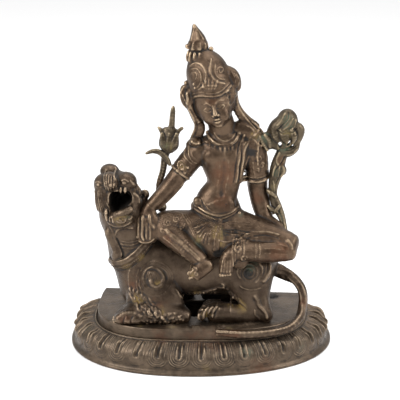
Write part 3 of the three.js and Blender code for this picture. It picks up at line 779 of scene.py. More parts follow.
# The wrinkled brow, the eyes, nose and teeth, and the long strands of the left cheek.
for k in range(5):
    wrinkle = [(-80.4 + 2.3 * k, 168 - 0.5 * k), (-79.6 + 2.1 * k, 163), (-78.2 + 1.7 * k, 158.6)]
    lion.line(wrinkle, (0.5, 0.75), 0.6)
    lion.line([(x + 1.15, z) for x, z in wrinkle], 0.4, 0.3, cut=True, sink=0)
lion.line([(-72.6, 168.8), (-71.5, 166.4), (-69.8, 163.2)], (0.6, 1.0), 0.6)
for x, z in ((-62.9, 160.2), (-84.8, 158)):
    lion.ball(tuple(lion.onto([(x, near_side, z)], front, 1.2)[0]), (2.4, 2.2, 1.7), 0.5)
    lion.line([(x - 3.2, z + 1.2), (x, z + 2.4), (x + 3.2, z + 1)], 0.7, 0.5)
    lion.line([(x - 2.8, z - 1.6), (x, z - 2.4), (x + 3, z - 1.4)], 0.55, 0.5)
lion.beads(lion.onto([(-73.6, near_side, 160.2), (-70.8, near_side, 160.6)], front, 0.5), 1.25, 0.6)
for k in range(6):
    lion.line([(-80.4 + 2.2 * k, 157.4 + 0.3 * k), (-80 + 2.2 * k, 153.4)], (0.6, 0.95), 0.4)
for x, size in ((-65.9, 1.1), (-62.1, 1.35)):
    lion.limb(
        [(x, -15.2, 156, size, 1.4), (x, -16, 153.8, size, 1.4), (x, -15.6, 151.4, size * 0.5, 0.8)], 0.3
    )
for k in range(3):
    lion.line(
        [(-58 + 2.2 * k, 162 - 2 * k), (-55.4 + 2 * k, 157.4 - 2.2 * k), (-53.6 + 1.6 * k, 151.4 - 2 * k)],
        0.7,
        0.6,
    )
for k in range(7):
    x = -88.6 + 1.55 * k
    strand = [(x, 151.4 + 0.3 * k), (x + 0.9, 143.6), (x + 1.7 + 0.25 * k, 134 + 0.5 * k)]
    lion.line(strand, (0.85 - 0.25 * (k % 2), 0.5), 0.6)
    lion.line([(x + 0.8, z) for x, z in strand], 0.35, 0.3, cut=True, sink=0)

# The fang, the chin with its soft curls, and the jaw's joint in front of the ear.
lion.limb([(-79.2, -15, 136, 1.3), (-78.6, -17.2, 131.4, 1.4), (-77.8, -17, 126.6, 1.1)], 0.8)
lion.line([(-75.2, 126.4), (-74.8, 130.4), (-72.8, 130.8), (-72.2, 126.4)], 0.95, 0.4)
lion.beads(lion.onto([(-81.2, near_side, 129.4), (-73.8, near_side, 128)], front, 0.4), 1.2, 0.4, cut=True)
lion.swirl(-64.6, 129.6, 4.2, 0.9, 1.2, 200, 0.8, 0.8, squash=0.7)
lion.swirl(-57.8, 131, 2.4, 0.6, 1.1, 100, 0.7, 0.6)
lion.line([(-77, 124.4), (-71.2, 122.6), (-64.8, 123), (-57.4, 126.6)], (0.9, 1.1), 0.8)
lion.line([(-52.6, 152), (-50, 148), (-48.8, 143)], 1.2, 0.8, cut=True, sink=0)
lion.line([(-55, 150), (-51.6, 146.6), (-50.6, 141)], 0.9, 0.6)

# The mane's smooth lock down the neck, the rings of the throat, the collar and the ridges of the chest.
lock = [(-75.4, 121), (-73.2, 116), (-72, 110.5), (-68.6, 103), (-66.3, 96), (-68, 90.5), (-73, 86)]
lion.line([(x - 3.8, z) for x, z in lock[1:-1]], 3.2, 2.5, sink=1.5)
lion.line(lock, 0.9, 0.8)
lion.line([(x + 1.6, z - 0.5) for x, z in lock[2:]], 0.7, 0.5, cut=True, sink=0)
lion.line([(-71.3, 112.7), (-69.6, 117.4), (-66.7, 119.8), (-61.6, 120.8), (-56, 119.6)], 0.7, 0.8)
for z, thick in ((107.4, 0.6), (104.6, 0.8), (101.4, 0.65)):
    lion.line([(-66.2, z + 0.6), (-57, z), (-48.6, z + 2.6)], thick, 0.8)
collar = [(-76, 80.4), (-69, 81.4), (-61, 84.6), (-53.4, 90.4), (-45, 98.4), (-41, 103)]
for rise_up, thick, run in ((-1.2, 0.8, 0.4), (0.9, 1.35, 0.5), (4.4, 2.2, 2.4), (6.6, 0.8, 0.4)):
    lion.line([(x - 0.4 * rise_up, z + rise_up) for x, z in collar], thick, run)
lion.line([(x + 0.6, z - 2.6) for x, z in collar], 0.7, 0.4, cut=True, sink=0)
rope = through(collar, 5)
rope_start = np.column_stack([rope[:, 0], np.full(len(rope), near_side), rope[:, 1] + 0.9])
lion.beads(lion.onto(rope_start, front, 0), 0.85, 0.3)
for x, thick in ((0, 0.85), (2.6, 0.6), (-7.6, 0.5)):
    lion.line([(x - 51.4, 82), (x - 52.9, 75), (x - 52.6, 67), (x - 51, 61.6)], thick, 0.8)

# The spirals of both shoulders: a hooked inner line round a raised lobe, and fine rings outside it.
for way in (1, -1):
    hook = [(-41, 72.6), (-39.4, 68.6), (-35.6, 66.9), (-31.3, 69.4), (-29.7, 74.4), (-31.7, 79.4)]
    spiral = [*hook, (-36.4, 83), (-42.2, 82.8), (-46.4, 79), (-47.8, 72.8), (-45.4, 66.4)]
    lion.line(spiral, (2.0, 0.8), 0.6, way=way, sink=0.6)
    lobe = lion.onto([(-40.4, near_side * way, 76.4)], (0, way, 0), 1.2)[0]
    lion.ball(tuple(lobe), (4.6, 2.8, 4.6), 1.5)
    for k in range(5):
        x, z = -44.6 + 1.9 * k, 78.6 + 0.9 * math.sin(0.8 * k)
        lion.line([(x, z), (x + 1.3, z - 3.2), (x + 1.1, z - 6)], 0.35, 0.3, cut=True, way=way, sink=0)
    lion.swirl(-36.8, 74.4, 15.8, 9.8, 3.4, 200, (0.7, 0.8), 0.4, way, squash=0.94)

    # The haunch: a sunk dark swirl in a raised rim, with two bright ridges behind it.
    rim = [
        (37.4, 75.4),
        (35, 81),
        (36.6, 87.4),
        (41.4, 91.4),
        (47, 92),
        (52.6, 89),
        (56.2, 83.4),
        (55, 77),
        (51.2, 72.8),
    ]
    lion.line(rim, (0.8, 1.0), 0.8, way=way)
    lion.swirl(45.2, 80.6, 8.8, 1.0, 2.7, 250, (0.55, 0.9), 0.5, way, spin=-1)
    lion.line([(62, 85.4), (62.2, 81), (60.4, 77.2), (57.2, 73.4)], (1.5, 2.2), 1.6, way=way, sink=0.9)
    lion.line([(58.6, 88.6), (59.6, 83.4), (57.6, 77.4), (53.4, 72)], 0.6, 0.6, way=way)
    lion.line([(37.4, 68.6), (41.7, 66.6), (49, 66), (55.6, 67.6)], 0.7, 0.8, way=way)

    # The hock with its smooth hind edge, and the thin flames of the thigh.
    lion.line(
        [(50.4, 60.4), (52.8, 56), (54, 52), (57, 48.6), (60, 45), (61.2, 40.6)],
        (1.8, 1.3),
        0.9,
        way=way,
        sink=0.8,
    )
    lion.line([(50.5, 48), (51.2, 43), (55.4, 38.8)], 0.8, 0.6, way=way)
    lion.line([(28.3, 58.8), (31.4, 56.2), (34.6, 54.1), (38.8, 51), (43, 48.6)], (1.7, 0.6), 0.6, way=way)
    lion.line([(31.4, 55.4), (29.4, 52), (29.2, 45.4)], (1.2, 0.6), 0.5, way=way)
    lion.line([(21.4, 69), (23.4, 66.2), (20.6, 64.4), (17.4, 64.8)], (1.2, 0.7), 0.5, way=way)
    for k in range(5):
        x, z = 24 + 3.4 * k, 63 - 2.4 * k
        lion.line([(x - 1.6, z + 2.6), (x, z - 0.6), (x + 3.4, z - 3)], (0.9, 0.45), 0.4, way=way)

# The tufts of fur at the elbows, each a short curved tongue with seeded size and lean.
draw = np.random.default_rng(21)
for way in (1, -1):
    for count, start_x, start_z, step_x, step_z in (
        (6, -58.6, 60.4, 3.7, -1.3),
        (7, -57.4, 55.4, 3.9, -1.5),
        (6, -51.6, 50.4, 4.2, -1.2),
        (4, -44.6, 45.6, 5.2, -1.4),
    ):
        for k in range(count):
            x = start_x + step_x * k + draw.uniform(-0.8, 0.8)
            z = start_z + step_z * k + draw.uniform(-0.8, 0.8)
            bend, size = draw.uniform(-1.2, 1.2), draw.uniform(0.75, 1.15)
            tuft = [
                (x - 1.8 * size, z + 3.6 * size),
                (x + bend * 0.4, z),
                (x + 4 * size, z - (3.2 + bend) * size),
            ]
            lion.line(tuft, (1.3 * size, 0.6), 0.7, way=way)
    rubble_x = draw.uniform(-50, -12, 60)
    rubble_z = draw.uniform(36, 46, 60)
    rubble = np.column_stack([rubble_x, np.full(60, near_side * way), rubble_z])
    lion.beads(lion.onto(rubble, (0, way, 0), 0.2), 1.1, 0.9)

# The belly's scalloped hem, the round toes and their joints.
lion.line([(-19.3, 63.6), (-13, 54.6), (-4.7, 55.6), (5.9, 59.2), (15.5, 62.8)], (0.9, 1.2), 0.8)
for k in range(9):
    x = -11 + 3.2 * k
    lion.line([(x, 57.2 + 0.26 * k), (x + 1.5, 55 + 0.3 * k), (x + 3, 57.4 + 0.26 * k)], (0.8, 0.5), 0.5)
for x, y, z, turn in ((-66.4, -29.6, 40.2, 24), (-59.6, -31, 40.6, 14), (-53, -30, 40.6, 4)):
    lion.ball((x, y, z), (5.2, 4.4, 4.0), 2.2, turn)
for x in (-63, -56.2):
    lion.line([(x + 1.2, 44.6), (x - 0.4, 41), (x - 0.6, 37)], 0.5, 0.6, cut=True, sink=0)
for k in range(4):
    lion.ball((-73.4 + 1.3 * abs(k - 1.5), -30 + 4.9 * k, 37.6), (2.0, 1.2, 1.4), 0.6)
for k in range(4):
    x, z = 4.6 + 4.0 * k, 50.6 + 0.9 * k
    lion.line([(x - 2.8, z - 11), (x - 2, z - 6), (x + 1.4, z - 1.2)], (1.2, 0.7), 1.1)
    lion.line([(x - 0.8, z - 11), (x, z - 6.2), (x + 3.2, z - 1.8)], 0.4, 0.5, cut=True, sink=0)

# The tail's bright upper ridge, the two ridges of its upright part, and the torn flap under its root.
tail_path = through([station[:3] for station in tail], 6)
for first, last, shift in (
    (36, None, (0, -2.8, 2.2)), (16, 40, (1.6, -3.0, 0.6)), (16, 40, (-1.4, -3.2, -0.8))
):
    lion.cord(tail_path[first:last] + shift, 1.3, 0.6)
lion.limb([(66, 12.6, 73, 4.2), (73, 12, 69.6, 3.8), (79.6, 10.6, 66.2, 2.6), (83.6, 9.4, 64.2, 1.4)], 0.8)
lion.beads([(84.8, 8.8, 63.4), (81.8, 10, 63.6), (78.4, 11, 65)], 1.2, 0.3)

# The far feet are stout, so that little light comes through between them below the belly.
lion.ball((-22, 33, 45), (12, 6, 13), 2)
lion.ball((14, 33, 43), (10.5, 6, 12), 2)

lion_piece = lion.skin(
    "lion_cast",
    coppery=[(-56, -14, 68, 9), (-62, -30, 40, 9), (92, 0, 50, 9), (30, -42, 33, 16), (-34, -20, 50, 10)],
    ochre=[
        (-63, -16, 87, 7),
        (-50, -14, 94, 6),
        (-34, -16, 69, 5),
        (-52, -20, 54, 7),
        (-30, -24, 46, 6),
        (-2, -10, 56, 7),
        (28, -18, 56, 8),
        (38, -18, 50, 7),
        (-66, -20, 131, 8),
        (8, -22, 44, 6),
    ],
    verdigris=[(46, -12, 84, 6), (52, -6, 92, 8), (-58, -24, 130, 5)],
    # Painted shade: these spots darken the open mouth, the haunch swirl's sunk centre and the lion's
    # underside between its legs.
    painted_shade_spots=[(-67, -4, 144, 8), (-66, -9, 141, 6), (44, -13, 80, 4), (-4, 14, 47, 14), (4, 23, 46, 12)],
)
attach(lion_piece, "root")
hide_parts("lion")
lion_piece.data.materials.append(
    patinated(
        "lion_patina",
        ground_tone=colour(84, 70, 57),
        deep_tone=colour(60, 48, 38),
        worn_tone=colour(150, 130, 108),
        copper_tone=colour(90, 58, 42),
        dirt_tone=colour(124, 100, 50),
        green_tone=colour(64, 74, 56),
    )
)

# Rider. Cast hollow like the lion and seated on its back, facing the front: one hand hangs over the
# raised knee and the other rests on the thigh of the folded leg. The face is a plain, calm one.

figure = Wax((-58, -36, 76), (94, 34, 297), 0.57)
body_trunk = [
    (15, 13, 109, 24, 15),
    (15, 13, 122, 22.5, 15),
    (15, 13, 131, 19.8, 14),
    (15.2, 13, 138, 17.2, 12.5),
    (19.2, 13, 147, 13.6, 11),
    (21.7, 13, 156, 13.3, 11),
    (21.4, 13.5, 166, 16.8, 12.5),
    (21, 14, 177, 21, 13),
    (23.5, 14.5, 188, 23, 10.5),
    (23, 14, 194.5, 16, 9),
]
figure.limb(body_trunk, 3)
figure.ball((15, 11, 115), (26, 16, 13), 3)
figure.limb([(20.5, 13.5, 192, 11, 10), (19.5, 12, 202, 9.4, 9), (18, 10, 212, 10, 9.5)], 4)
head_tilt = -15
figure.ball((12, 9, 228), (17, 18, 21), 3, head_tilt)
figure.ball((14.6, -1, 221), (12.4, 8.8, 12.2), 4, head_tilt)
crown = [
    (11, 8.5, 239, 18.4, 18),
    (8.8, 9, 246, 18, 17.6),
    (5.6, 10.5, 255, 17.2, 16),
    (2.4, 12, 262, 13.5, 11.4),
    (-0.6, 13, 268, 7.6, 7),
]
bud = [
    (-1.4, 13, 266, 7.2),
    (-1.8, 13, 271, 6.4),
    (-1.6, 13, 274.4, 7.2),
    (-1.5, 13, 279, 7),
    (-2.6, 13, 284.4, 4.8),
    (-4, 13, 289.4, 2.4),
    (-4.9, 13, 292.8, 0.9),
]
figure.limb(crown, 1.5)
figure.limb(bud, 1)
figure.ball((-11.5, 10, 231), (4.6, 4.4, 10.5), 1.0, head_tilt)
figure.ball((30.5, 11, 246), (4.8, 4.4, 10), 1.0, head_tilt)
figure.limb([(-12, 9, 240, 2.4), (-7, 9, 241, 3)], 1)
ribbon_left = [
    (-8.4, 9, 224, 3.2, 3.6),
    (-3.6, 10, 214.5, 3.8, 3.6),
    (0.6, 11.5, 204.5, 4, 3.4),
    (-0.4, 12.5, 198.5, 3.7, 3.2),
    (-4.6, 14, 191, 3.7, 3.2),
    (-8.6, 14, 186, 4, 4),
]
figure.limb(ribbon_left, 1.5)
figure.limb(
    [(29, 11, 238, 3, 3.4), (31, 12, 224, 3.4, 3.4), (38, 14, 212, 4.2, 3.4), (48, 15, 203, 5, 4)], 1.5
)
figure.limb([(30, 12, 203, 4, 5), (36, 13, 203, 7, 6), (44, 14, 199.5, 7, 6), (51, 15, 196, 6, 5)], 2)
hanging_arm = [
    (1, 14, 184, 10, 10),
    (-9, 11.5, 173, 9, 9),
    (-18.5, 8.5, 160.5, 7.8, 7.8),
    (-26.5, 4.5, 151, 6.8, 6.8),
    (-36, -0.5, 141, 5.6, 5.6),
    (-43, -4, 134, 4.8, 4.6),
    (-43.8, -9, 125, 9.6, 4),
    (-43.6, -12, 115, 10.4, 3.4),
    (-42.5, -13.5, 106.5, 6, 2.4),
]
resting_arm = [
    (43, 15, 191, 11, 10),
    (49.5, 17.5, 174, 9.6, 9.2),
    (50, 21, 158, 8.6, 8.6),
    (50.5, 23, 146, 8, 8),
    (54, 21, 131, 7.6, 7.6),
    (58.5, 15, 119.5, 6, 6),
    (65, 9.5, 115.5, 6.5, 4),
    (72, 5, 112.5, 5, 3),
]
figure.limb(hanging_arm, 2.5)
figure.limb(resting_arm, 2.5)
figure.limb([(-8, 12, 174, 9.8), (-16.5, 9, 163.5, 9.2)], 1.0, pole=0.15)
figure.limb([(48.5, 17, 176, 10), (50, 20.5, 158, 9.9)], 1.0, pole=0.15)
legs = [
    [(6, 10, 115, 13.4, 13), (-12, 5, 118, 11.4, 12), (-24, -1, 119.6, 11.4, 11), (-32, -4, 119.6, 11, 10)],
    [(-31, -6, 117, 10, 9.5), (-20, -12, 110, 9.4, 8.5), (-8, -17, 101.5, 7.8, 7.5), (4, -21, 93.5, 6, 6)],
    [(11, -22, 90, 5.2, 5), (4, -25, 86.5, 6, 4.6), (-2, -28, 81.5, 5.4, 3.2)],
    [(28, 10, 117, 15, 13), (47, 6, 112.5, 13, 12), (64, 2, 107.5, 12, 11), (81, -2, 102, 10.6, 10.5)],
    [(80, -5, 99.5, 9.6, 9.5), (60, -11, 99, 9, 8.5), (46, -15, 100.5, 8.4, 8), (35, -19, 102, 7, 7)],
    [(33, -20, 103, 6, 5.5), (26.5, -23.5, 96, 6.2, 4.8), (25, -26.5, 84.5, 5.6, 3.4)],
    [(9, 1, 116, 24, 9), (10, -6, 105, 18, 8), (13, -9, 95, 12, 6)],
    [(40, -12, 108, 7, 6), (37, -17, 96, 8, 5), (35, -18, 88, 6, 3.5)],
]
for stations in legs:
    figure.limb(stations, 2)
figure.ball((6, -4, 106), (21, 11, 15), 4)
figure.ball((26, -6, 104), (12, 11, 12), 3)
figure.limb([(36, -4, 107, 8), (56, -4, 105.5, 7.4), (74, -4, 103, 6)], 2)
figure.limb(
    [(-7, 6, 238, 3.4, 5), (-8, 5.4, 230, 3, 4.4), (-6.4, 6.4, 221, 2.8, 4), (-1, 9, 210, 3, 3.6)], 1.5
)
figure.limb([(27, 7, 242, 4, 5), (27.6, 6.5, 233, 3.4, 4.4), (27.4, 8, 222, 2.4, 3.6)], 1.5)
figure.limb([(22.5, 10, 253, 6, 6), (27.4, 9.6, 249, 6, 5.4), (30, 9.6, 243, 5, 4.6)], 2)
figure.ball((-1.4, 5, 138.6), (3.9, 4, 4.6), 2.5)
figure.limb([(13, 13, 130.5, 20.8, 15), (13, 13, 134, 20.2, 14.6)], 1.0, pole=0.15)
figure.limb([(20.8, 12.5, 194, 16.4, 12.6), (20.4, 12, 199.4, 12.6, 11.2)], 1.0, pole=0.15)


# The face: calm, with lowered lids, laid out in a frame whose middle is under the bridge of the nose.


def face(across, up, y):
    """A point of the head, which leans to the left: across and up along the face, and y in the world."""
    lean = math.radians(head_tilt)
    across, up = 1.1 * across, 1.1 * up
    x = 15 + across * math.cos(lean) + up * math.sin(lean)
    return x, y, 221 - across * math.sin(lean) + up * math.cos(lean)


def on_face(*places):
    """The x and z of several places across and up the face."""
    return [face(across, up, 0)[::2] for across, up in places]


figure.ball(face(0, 11, 2), (11.5, 8.5, 8.5), 4, head_tilt)
figure.ball(face(0, -8.8, -5), (4.4, 4.6, 3.8), 2.5, head_tilt)
for side in (-1, 1):
    figure.ball(face(5.4 * side, -2.8, -4.4), (5.2, 4.8, 5.6), 2.5, head_tilt)
    figure.ball(face(4.9 * side, 5.4, -13.8), (4.6, 4.6, 2.9), 2.6, head_tilt, cut=True)
    figure.ball(face(4.8 * side, 4.3, -6.6), (4.0, 2.4, 2.2), 1.2, head_tilt)
    figure.line(on_face((1.8 * side, 4.4), (4.8 * side, 6.0), (8.0 * side, 5.0)), 0.45, 0.5)
    figure.line(on_face((1.9 * side, 3.7), (4.8 * side, 2.6), (7.8 * side, 4.0)), 0.45, 0.4)
    figure.line(
        on_face((2.2 * side, 4.1), (4.8 * side, 3.4), (7.5 * side, 4.5)), 0.35, 0.3, cut=True, sink=0
    )
    figure.line(on_face((1.5 * side, 7.6), (4.9 * side, 9.6), (9.0 * side, 7.8)), (0.8, 0.4), 0.6)
figure.limb([(*face(0, 7.5, -8.6), 1.2), (*face(0, 3.6, -10.1), 1.3), (*face(0, -0.2, -11.6), 1.9)], 1.2)
for side in (-1, 1):
    figure.ball(face(1.9 * side, -0.9, -10.6), (1.3, 1.4, 1.2), 0.6, head_tilt)
    figure.limb([(*face(0.3 * side, -4.2, -10.2), 0.9), (*face(3.2 * side, -4.9, -8.8), 0.45)], 0.5)
figure.limb(
    [(*face(-2.4, -6.2, -8.9), 0.6), (*face(0, -6.7, -9.9), 1.0), (*face(2.4, -6.2, -8.9), 0.6)], 0.5
)
figure.line(on_face((-3.6, -5.2), (0, -5.5), (3.6, -5.2)), 0.4, 0.3, cut=True, sink=0)

# The tall crown: two great spirals, a palmette between them, a doubled band and a bud in two collars.
figure.line([(-7, 259.5), (-3, 262.4), (2, 261.8), (6, 257.5), (7, 251), (5, 245.4), (0.8, 241.6)], 0.9)
figure.line([(-6, 257.4), (-0.8, 258.4), (2.6, 253.6), (2.2, 247.6), (-1, 242.6)], 0.65)
figure.line([(-5.6, 254.6), (-2.2, 255.4), (-1.0, 252.6), (-2.2, 249.8)], 0.6)
figure.line([(10.6, 266), (9.8, 259), (11.5, 253), (16.2, 248.6), (22.4, 246.4)], 0.95)
figure.line([(14.4, 262), (13.8, 256), (17.6, 251), (22.4, 249.6)], 0.65)
figure.swirl(18.4, 257, 3.2, 0.8, 1.2, 200, 0.65, spin=-1)
for across, up, lean in (
    (5.4, 0.0, -2.4), (7.2, 1.0, -1.2), (9.2, 1.8, 0.2), (11.6, 1.2, 1.6), (13.8, 0.4, 3.2)
):
    figure.line(
        [(across, 243.2), (across + lean * 0.6, 247.6 + up), (across + lean, 250 + up)], (1.25, 0.35), 0.4
    )
figure.line([(2.6, 243.8), (9, 245.6), (15.8, 245.4)], 0.7, 0.4)
figure.beads(figure.onto([(-3.6, near_side, 245.4), (-2.6, near_side, 242.4)], front, 0.2), 1.3)
for rise, thick in ((0, 1.2), (2.6, 0.75)):
    band = [
        (-5.4, 228),
        (-4.6, 232),
        (-1, 235.4),
        (5, 236.6),
        (12, 236.4),
        (18.5, 237.4),
        (23.2, 240.4),
        (27, 243.6),
    ]
    figure.line([(x - 0.35 * rise, z + rise) for x, z in band], thick, 0.5, sink=0.4)
figure.line([(-9.5, 236), (-9, 231), (-10, 226)], (1.6, 1.0), 0.6)
for k in range(3):
    curl_x, curl_z = 25.4 + 0.9 * k, 238 - 4.6 * k
    figure.swirl(curl_x, curl_z, 2.6, 0.6, 1.1, 60, 0.8)
for k in range(12):
    angle = math.radians(30 * k + 12)
    x, y = math.cos(angle), math.sin(angle)
    petal = [(0.4 + 9.4 * x, 12 + 9.4 * y, 262.4, 2.2, 1.5), (-0.6 + 8.9 * x, 12.4 + 8.9 * y, 266, 2.2, 1.6)]
    figure.limb([*petal, (-1.2 + 8.2 * x, 12.6 + 8.2 * y, 270.4, 0.9, 0.8)], 0.6)
for k in range(9):
    angle = math.radians(40 * k + 5)
    x, y = math.cos(angle), math.sin(angle)
    petal = [
        (-1.8 + 7.4 * x, 13 + 7.4 * y, 272.8, 2.0, 1.3), (-1.6 + 7.2 * x, 13 + 7.2 * y, 276.6, 1.5, 1.1)
    ]
    figure.limb([*petal, (-1.6 + 6.6 * x, 13 + 6.6 * y, 280, 0.5, 0.5)], 0.5)
figure.line([(-6.8, 280), (-5.6, 286), (-3.8, 291)], (0.8, 0.4), 0.4)
figure.line([(-1, 281), (-2.2, 287), (-3.6, 291.4)], (0.8, 0.4), 0.4)
figure.line([(3.4, 281), (0, 286.4), (-3.2, 291)], (0.8, 0.4), 0.4)
figure.beads([(-10.2, 11, 274.6), (9.8, 11, 272.6), (-11, 8, 243.6), (24.4, 9, 256)], 2.1, 0.6)

# The ear discs with slanting ridges, and the shell of cloth beside the crown.
for k in range(3):
    figure.line([(-15.6 + 1.6 * k, 235.5 - 2.6 * k), (-12.2 + 1.4 * k, 231.5 - 2.6 * k)], 0.7, 0.3)
figure.line([(-13, 240.5), (-15.8, 234), (-14.5, 226), (-11, 222)], 0.8, 0.4)
for k in range(3):
    figure.line(
        [(27.5 + 2.0 * k, 254.6 - 1.2 * k), (30.5 + 1.6 * k, 248.5 - 0.6 * k), (31 + 1.0 * k, 241)], 0.6, 0.3
    )
figure.ball((33.5, 4, 238.4), (1.8, 3.5, 2.2), 0.6, cut=True)
for strand in (
    [(-8.6, 222), (-4.6, 213), (-3.6, 204), (-7.6, 193)], [(31, 236), (34, 222), (42, 210), (52, 200)]
):
    figure.line(strand, 0.8, 0.6)
    figure.line([(x + 1.7, z) for x, z in strand], 0.5, 0.4, cut=True, sink=0)

# The torso: a soft chest, necklets, pendants, the sash and the cloth over the left shoulder.
figure.ball((10.5, 4.2, 179.5), (6.5, 4.4, 6.5), 3.5)
figure.ball((29, 4.8, 178.5), (6.5, 4.4, 6.5), 3.5)
figure.line([(13.2, 201.8), (16.8, 197.5), (22.2, 195.1), (27.6, 196.4), (31.2, 200.4)], 0.8)
torque = [(7.2, 199.6), (9, 196.8), (13.2, 193.7), (19.2, 191.9), (25.2, 192), (31.2, 195.3), (34.8, 200.9)]
figure.line(torque, 1.8, 0.6, sink=0.5)
figure.line([(x, z - 1.1) for x, z in torque[1:]], 0.35, 0.2, cut=True, sink=0)
figure.line([(4.6, 192.6), (7.8, 191.7), (13.2, 191), (18, 189.8), (24.1, 189.6), (29, 191.4)], 0.7, 0.4)
for x, z, drop, thick in (
    (9.4, 190.6, 2.2, 0.9),
    (13.8, 190.0, 3.2, 1.1),
    (18.6, 188.8, 3.6, 1.7),
    (22.4, 188.6, 7.0, 1.5),
    (25.6, 188.8, 3.6, 1.1),
    (28.8, 189.6, 4.2, 1.5),
):
    figure.line([(x, z), (x + 0.1, z - 0.6 * drop), (x + 0.4, z - drop)], (thick, 0.4), 0.3)
figure.line([(21.6, 178), (22.2, 165), (19.6, 153), (20.2, 145)], 1.4, 3.4, cut=True, sink=-1.6)
sash = [(39, 199.2), (36.7, 192.9), (35.5, 186.6), (35, 179.7), (33.8, 172.8), (33.2, 164.5), (32, 157)]
figure.line(sash, 1.15, 0.5)
figure.line([(x - 2, z) for x, z in sash[1:]], 0.5, 0.4, cut=True, sink=0)
figure.line([(x + 3.2, z - 1) for x, z in sash[1:]], 1.5, 1.5)
figure.line([(43.3, 194), (40.3, 188.6), (38.8, 183.5), (38.2, 177), (36.8, 168), (35.6, 160)], 0.8, 0.5)
figure.line([(42.8, 180), (40.5, 173.5), (38.6, 166)], 0.7, 0.7)
for fold in (
    [(40.6, 206.4), (45.2, 204), (47.4, 199.6), (44, 196.4)],
    [(44.9, 209.4), (49.1, 206.2), (51, 202.5), (47.6, 198.6)],
    [(50.6, 204.8), (54.6, 199.5), (55.6, 193.9), (53.5, 188.8)],
    [(46.4, 195.4), (49.6, 191.4), (50, 186)],
):
    figure.line(fold, (0.7, 1.0), 0.6)
figure.ball((-3.5, 8, 191.5), (5.4, 5, 4), 1.5)
figure.line([(-6.6, 193), (-4.9, 192.1), (-0.7, 190.9), (3.8, 191)], (0.9, 0.6), 0.5)
figure.line([(-9.2, 187), (-8.6, 181.3), (-5.5, 175.6), (-1.6, 173.6)], (0.9, 0.6), 0.5)
figure.line([(-12.4, 184), (-12.4, 179.6), (-9.4, 176.4), (-4.9, 172.6)], (0.9, 0.6), 0.5)
figure.line([(-6.2, 185), (-5, 180), (-1.6, 177.4)], 0.5, 0.4)
for fold in (
    [(0.6, 141.6), (3.4, 134.6), (8.6, 130), (13.4, 128.6)],
    [(2.4, 143), (5.8, 137), (10.6, 132.8), (15, 131)],
    [(8.5, 137.2), (13.4, 139.6), (17, 141.6)],
):
    figure.line(fold, 0.55, 0.7)
figure.ball((23.5, 3.6, 137), (7.5, 4.5, 6.5), 4)
figure.beads(figure.onto([(24, near_side, 138.5)], front, 0.1), 0.8, 0.3, cut=True)
belt = [(-2.6, 135.4), (4, 132.4), (12, 129.6), (19, 128.4), (27, 130.4), (33.4, 133.8)]
figure.line(belt, 1.2, 0.4, sink=0.2)
figure.line([(x - 0.8, z - 3.4) for x, z in belt[:4]], 0.9, 0.4)
pearls = through([(20.6, 126), (24.1, 126.9), (29.3, 128.9), (33.6, 131.4)], 5)
figure.beads(figure.onto([(x, near_side, z) for x, z in pearls], front, -0.2), 0.85, 0.1)
figure.ball(tuple(figure.onto([(19.3, near_side, 124.4)], front, 0.3)[0]), (2.0, 1.5, 2.4), 0.3)
figure.beads(figure.onto([(35.4, near_side, 129)], front, 0.6), 1.7, 0.4)

# Both sleeves: a rosette and a rolled hem on the hanging arm, beaded trim and a wide hem on the other.
for centre, axis, outer, thick in (
    ((-16.4, 9.1, 163.4), (-0.62, -0.22, -0.75), 15, 1.3),
    ((-13.8, 10, 166.6), (-0.62, -0.22, -0.75), 15, 0.7),
    ((50, 20.6, 158.2), (0.1, 0.25, -1), 16, 1.6),
    ((49.8, 20.0, 162), (0.1, 0.25, -1), 16, 0.8),
):
    figure.cord(figure.ring(centre, axis, outer, 44, 0.3), thick, 0.4)
figure.swirl(-14.7, 171.4, 4.2, 0.8, 1.3, 80, 0.85)
figure.beads(
    figure.onto([(-9.4, near_side, 170.2), (-18.6, near_side, 167.6), (-12, near_side, 165.6)], front, 0.3),
    1.5,
    0.4,
)
for x, z, outer, start in (
    (53.4, 191, 3.2, 60), (51.8, 178.4, 3.0, 100), (54, 171.4, 2.6, 20), (50.6, 168, 1.9, 200)
):
    figure.swirl(x, z, outer, 0.7, 1.2, start, 0.8)
figure.line([(51.4, 185.6), (49.6, 181), (51.2, 174.6), (49.4, 170.4)], (0.9, 0.6), 0.4)
figure.line([(51, 189), (50.5, 178), (51.5, 166)], 0.7, 0.4)
figure.line([(57.6, 186), (58, 176), (58.4, 166)], 0.7, 0.4)
figure.line([(46.5, 178), (47, 170), (48.5, 160)], 0.6, 0.5)
figure.line([(-14.5, 155.5), (-22, 146.5), (-30, 138.5), (-36, 133.5)], (1.4, 0.8), 1.8, sink=0.9)

# The hanging hand: four long fingers together, the thumb beside them, and the folds of cloth it holds.
for finger, thick, run in (
    ([(-47.6, 129), (-47.4, 121), (-48, 114), (-46.4, 109.4)], 1.6, 0.9),
    ([(-42, 130), (-40.9, 124.4), (-37.6, 120)], 1.4, 0.9),
    ([(-44.4, 127), (-44.2, 118), (-44.4, 110.6)], 0.9, 1.2),
    ([(-51.2, 127), (-51, 118.4), (-51.4, 110.6)], 0.9, 1.1),
    ([(-41.2, 121.6), (-40.8, 115), (-41.2, 109.8)], 0.8, 1.1),
    ([(-54.2, 119), (-54.8, 111), (-52.4, 103)], 0.8, 0.7),
    ([(-52.6, 112), (-51.8, 106), (-49.6, 101)], 0.7, 0.7),
    ([(-50.7, 107.6), (-46.7, 106.9), (-41, 107.9), (-37.6, 110.6)], 0.9, 0.8),
):
    figure.line(finger, (thick, 0.65 * thick), run, sink=0.2)
for groove in ([(-49.4, 124), (-49.6, 117), (-49, 110)], [(-45.6, 121), (-45.8, 114), (-45.2, 109.6)]):
    figure.line(groove, 0.35, 0.4, cut=True, sink=0)
figure.cord(figure.ring((-42.2, -3.2, 135), (-0.75, -0.4, -0.7), 9, 36, 0.5), 0.7, 0.5)

